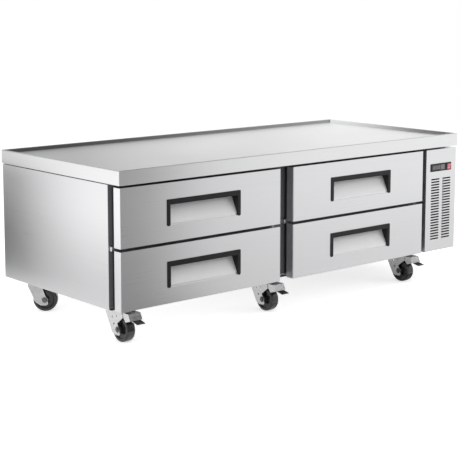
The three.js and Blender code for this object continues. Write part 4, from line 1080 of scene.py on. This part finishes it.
for node in ("inner_liner", "unit_tray", "evaporator_cover"):
    dressed(node, 0.6 * mm, f"{node}_sheet", 1)
levels = [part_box(f"{level}_left_drawer_front")[0].z + front_roller_rise for level in ("lower", "upper")]
for side in ("left", "right", "centre"):
    rack = f"{side}_slide_rack"
    places = [(front_roller, level) for level in levels]
    dressed(rack, 0.6 * mm, f"{rack}_sheet", 1, rail_finishes, roller_finish(places))
for drawer in drawers:
    low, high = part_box(f"{drawer}_pan_frame")
    place = (high.y - rear_roller_inset, low.z + rear_roller_rise)
    dressed(f"{drawer}_pan_frame", 0.5 * mm, f"{drawer}_pan_rails", 1, rail_finishes,
            roller_finish([place], (low.x, high.x)))
print("racks: 3, pan frames:", len(drawers))

# %% [markdown]
# The compressor is a black enamelled can on rubber feet, and its copper pipes leave it at the side and
# over its top. The two coils are packs of aluminium fins on copper pipe, which only shows where it leaves
# the fins. The fins of the coil behind the louvres are painted black as painted shade, so that the slots
# look dark.

# %% Compressor, coils and fans
can_middle = Vector((828 * mm, -30 * mm, 0))
can_reach = 67.5 * mm
pipe_start = 262 * mm
can_top = 326 * mm
feet_top = 146.5 * mm
black_fins_right, black_fins_top = 893.2 * mm, 399.2 * mm
cold_fins_right = 18.2 * mm


def compressor_finish(centre, normal):
    beside_can = centre.y < can_middle.y and (centre - can_middle).xy.length > can_reach
    if centre.z > can_top or (centre.z > pipe_start and beside_can):
        return copper
    return gasket_rubber if centre.z < feet_top else enamel


def black_coil_finish(centre, normal):
    return copper if centre.x > black_fins_right or centre.z > black_fins_top else shade_black_fins


def cold_coil_finish(centre, normal):
    return copper if centre.x > cold_fins_right else aluminium


dressed("compressor", 1 * mm, "compressor_can", 2, [enamel, copper, gasket_rubber], compressor_finish)
for node in ("condenser_fan", "condenser_fan_shroud", "evaporator_fan"):
    dressed(node, 0.4 * mm, f"{node}_pressing", 1)
dressed("condenser_coil", 0.2 * mm, "shade_black_coil", 1, [shade_black_fins, copper], black_coil_finish)
dressed("evaporator_coil", 0.2 * mm, "cold_coil", 1, [aluminium, copper], cold_coil_finish)

# %% [markdown]
# The back cover has to come off for cleaning, so it is held by sheet metal screws and not by rivets.
# Each screw has a six-sided head on its own round washer. Both are short cones with a bevelled outer
# rim, as on the casters, but here they stand out along the cabinet's depth.

# %% Screws of the back cover
cover_back = 395.5 * mm
screw_places = [(x * mm, z * mm) for x in (746, 910) for z in (146, 364, 583)]
screw_stack = [  # radius, start, length, sides, bevel
    (5.4 * mm, -0.2 * mm, 1.2 * mm, 28, 0.5 * mm),
    (3.7 * mm, 0.9 * mm, 2.6 * mm, 6, 0.5 * mm),
]
outwards = Matrix.Rotation(math.pi / 2, 4, "X")
bm = bmesh.new()
for x, z in screw_places:
    for radius, start, length, sides, bevel in screw_stack:
        middle = Matrix.Translation((x, cover_back + start + length / 2, z))
        short_cone(bm, middle @ outwards, radius, length, sides, bevel, lambda point: point.y)
piece(bm, "back_cover_screws", "root", [zinc])
print("screws in the back cover:", len(screw_places))

# %% [markdown]
# The floor is plain and pale. Close to the cabinet it holds the soft shadow, and a few metres out it
# fades into the white of the room, so that no horizon shows. To the camera and in reflections most of
# its white is its own glow, because a floor that was lit to pure white would also light the object.

# %% Floor
floor_half = 9.0
floor_fade = (3.0, 8.0)
floor_glow = 0.62
mirrored_glow = 0.3

bm = bmesh.new()
bmesh.ops.create_circle(bm, cap_ends=True, segments=96, radius=floor_half)
floor = object_of("floor", bm)


def kinds_of_ray(tree):
    path = tree.nodes.new("ShaderNodeLightPath")
    return [Wire(tree, path.outputs[f"Is {ray} Ray"]) for ray in ("Camera", "Glossy", "Transmission")]


floor_finish = Finish("pale floor", Base_Color=(0.9, 0.9, 0.9), Roughness=0.9, Specular_IOR_Level=0.0)
seen, mirrored, through = kinds_of_ray(floor_finish.tree)
strength = (seen + through) * floor_glow + mirrored * mirrored_glow
glow = floor_finish.node("ShaderNodeEmission", sockets={"Color": (1, 1, 1), "Strength": strength})
lit = Wire(floor_finish.tree, floor_finish.shader.outputs[0])
white = floor_finish.node("ShaderNodeAddShader", sockets={0: lit, 1: glow})
x, y, z = floor_finish.parts(floor_finish.place())
reach = (x * x + y * y) ** 0.5
fade = ((reach - floor_fade[0]) / (floor_fade[1] - floor_fade[0])).limited()
clear = floor_finish.node("ShaderNodeBsdfTransparent")
edge = floor_finish.node("ShaderNodeMixShader", sockets={0: fade, 1: white, 2: clear})
floor_finish.tree.links.new(edge.socket, floor_finish.tree.nodes["Material Output"].inputs[0])
floor.data.materials.append(floor_finish.material)
print("floor fades from", floor_fade[0], "to", floor_fade[1], "m")

# %% [markdown]
# The room is white to the camera, and so are its walls in a reflection. A studio's ceiling is darker
# than its walls, so reflections that look up find a greyer white. On matt surfaces the room falls as a
# softer grey, and three soft boxes add the rest.

# %% Room
room_light = 0.55
ceiling_tone = 0.5
ceiling_start = 0.3
ceiling_full = 0.8

world = bpy.data.worlds.new("white room")
world.use_nodes = True
bpy.context.scene.world = world
tree = world.node_tree
background = tree.nodes["Background"]
background.inputs["Color"].default_value = (1, 1, 1, 1)
camera_ray, glossy_ray, clear_ray = kinds_of_ray(tree)
way = tree.nodes.new("ShaderNodeSeparateXYZ")
tree.links.new(tree.nodes.new("ShaderNodeTexCoord").outputs["Generated"], way.inputs[0])
height = ((Wire(tree, way.outputs["Z"]) - ceiling_start) / (ceiling_full - ceiling_start)).limited()
mirrored = 1 - height * (1 - ceiling_tone)
seen = (camera_ray + clear_ray).limited()
strength = seen + glossy_ray * mirrored + (1 - (seen + glossy_ray).limited()) * room_light
plug(tree, background.inputs["Strength"], strength)
print("room made, with matt light of", room_light)

# %% [markdown]
# Three soft boxes light the matt surfaces: a wide one overhead, one at the front right, and a weaker one
# at the left that lifts the casters and the left side. They are hidden from mirror rays, because their
# outlines would show in the steel as hard bright patches.

# %% Lamps
def soft_lamp(name, place, target, width, height, power):
    data = bpy.data.lights.new(name, "AREA")
    data.shape = "RECTANGLE"
    data.size = width
    data.size_y = height
    data.energy = power
    lamp = bpy.data.objects.new(name, data)
    lamp.visible_glossy = False
    lamp.location = place
    lamp.rotation_euler = (Vector(target) - Vector(place)).to_track_quat("-Z", "Y").to_euler()
    bpy.context.scene.collection.objects.link(lamp)


soft_lamp("overhead softbox", (0.3, -0.6, 3.2), (0, 0, 0.4), 3.0, 2.4, 45)
soft_lamp("front right softbox", (2.8, -3.2, 1.8), (0.2, 0, 0.4), 1.8, 1.8, 35)
soft_lamp("left softbox", (-3.4, -1.0, 1.6), (-0.9, 0, 0.4), 1.6, 1.6, 20)
print("lamps:", len(bpy.data.lights))

# %% [markdown]
# Brushed steel shows what stands around it, so a photographer shapes its greys with large graded cards
# close to the product. Here every card is seen by mirror rays alone. It is a plain rectangle between
# two corners, and its tone is a sum of ramps along the room's x, y and z, in metres.

# %% A card
def share_of(way, start, stop):
    return ((way - start) / (stop - start)).limited()


def card(name, low, high, tone):
    low, high = Vector(low), Vector(high)
    size = high - low
    turn = Matrix.Identity(4)
    if size.y == 0:
        turn = Matrix.Rotation(math.pi / 2, 4, "X")
    elif size.x == 0:
        turn = Matrix.Rotation(math.pi / 2, 4, "Y")
    stretch = Matrix.Diagonal((*(side or 1 for side in size), 1))
    bm = bmesh.new()
    bmesh.ops.create_grid(bm, x_segments=1, y_segments=1, size=0.5,
                          matrix=Matrix.Translation((low + high) / 2) @ stretch @ turn)
    paint = Finish(name, Base_Color=(0, 0, 0), Roughness=1.0, Specular_IOR_Level=0.0,
                   Emission_Strength=1.0)
    grey = tone(*paint.parts(paint.place()))
    paint.wire_in("Emission Color", paint.point(grey, grey, grey))
    made = object_of(name, bm)
    made.data.materials.append(paint.material)
    for ray in ("camera", "diffuse", "transmission", "shadow", "volume_scatter"):
        setattr(made, f"visible_{ray}", False)


print("cards show their tone to mirror rays only")

# %% [markdown]
# The front card is darker at the left, so the left drawers come out greyer than the right ones. The side
# card is darker towards the floor and the back, the flag draws the dark line along the back of the rim,
# and the roof cards keep the slanting pockets and the rim from turning white.

# %% Tones and places of the cards
def even(grey):
    return lambda x, y, z: z * 0 + grey


def front_tone(x, y, z):
    left_half = share_of(x, -0.5, -0.12) * 0.50 + share_of(x, -0.12, 0.4) * 0.12
    along = 0.36 + left_half + share_of(x, 0.4, 1.2) * 0.07
    return along * (0.84 + share_of(z, 0.05, 0.4) * 0.16)


def side_tone(x, y, z):
    ahead = share_of(y, 0.80, 0.30) ** 0.5
    panel = 0.25 + ahead * 1.02 - (1 - share_of(z, 0, 0.38)) * (0.24 + ahead * 0.34)
    apron = 0.98 + ahead * 0.2
    return panel + share_of(z, 0.51, 0.53) * (apron - panel)


# Painted shade: a card on the floor under the cabinet, darker to the right, stands for the floor's shade
# there in reflections.
def under_cabinet_shade_tone(x, y, z):
    return 0.78 - share_of(x, -0.5, 0.5) * 0.5


def roof_tone(x, y, z):
    return 0.02 + share_of(x, 0.4, 2.4) * 0.36


def flag_tone(x, y, z):
    return 0.1 + share_of(x, -0.7, 0.9) * 0.45


def rear_tone(x, y, z):
    return 0.60 + share_of(x, -0.3, 0.45) ** 0.8 * 0.40 + share_of(x, 0.75, 1.3) * 0.16


card("front card", (-1.2, -0.88, 0.002), (2.2, -0.88, 0.9), front_tone)
card("floor card", (-1.2, -0.9, 0.003), (2.2, -0.45, 0.003), front_tone)
card("painted shade under the cabinet", (-0.6, -0.4, 0.003), (1.0, 0.5, 0.003), under_cabinet_shade_tone)
card("side card", (-1.25, -0.6, 0.002), (-1.25, 1.6, 0.8), side_tone)
card("roof card", (-0.9, -1.4, 2.0), (2.8, 0.7, 2.0), roof_tone)
card("roof card behind", (-1.2, 0.75, 2.0), (1.4, 3.0, 2.0), even(0.12))
card("flag behind the rim", (-1.1, 0.43, 0.6485), (1.1, 0.43, 0.662), flag_tone)
card("rear card", (-1.6, 0.8, 0.66), (2.6, 0.8, 1.5), rear_tone)
card("white card", (2.1, -2.7, 2.0), (3.6, -1.3, 2.0), even(1.0))
print("cards set")
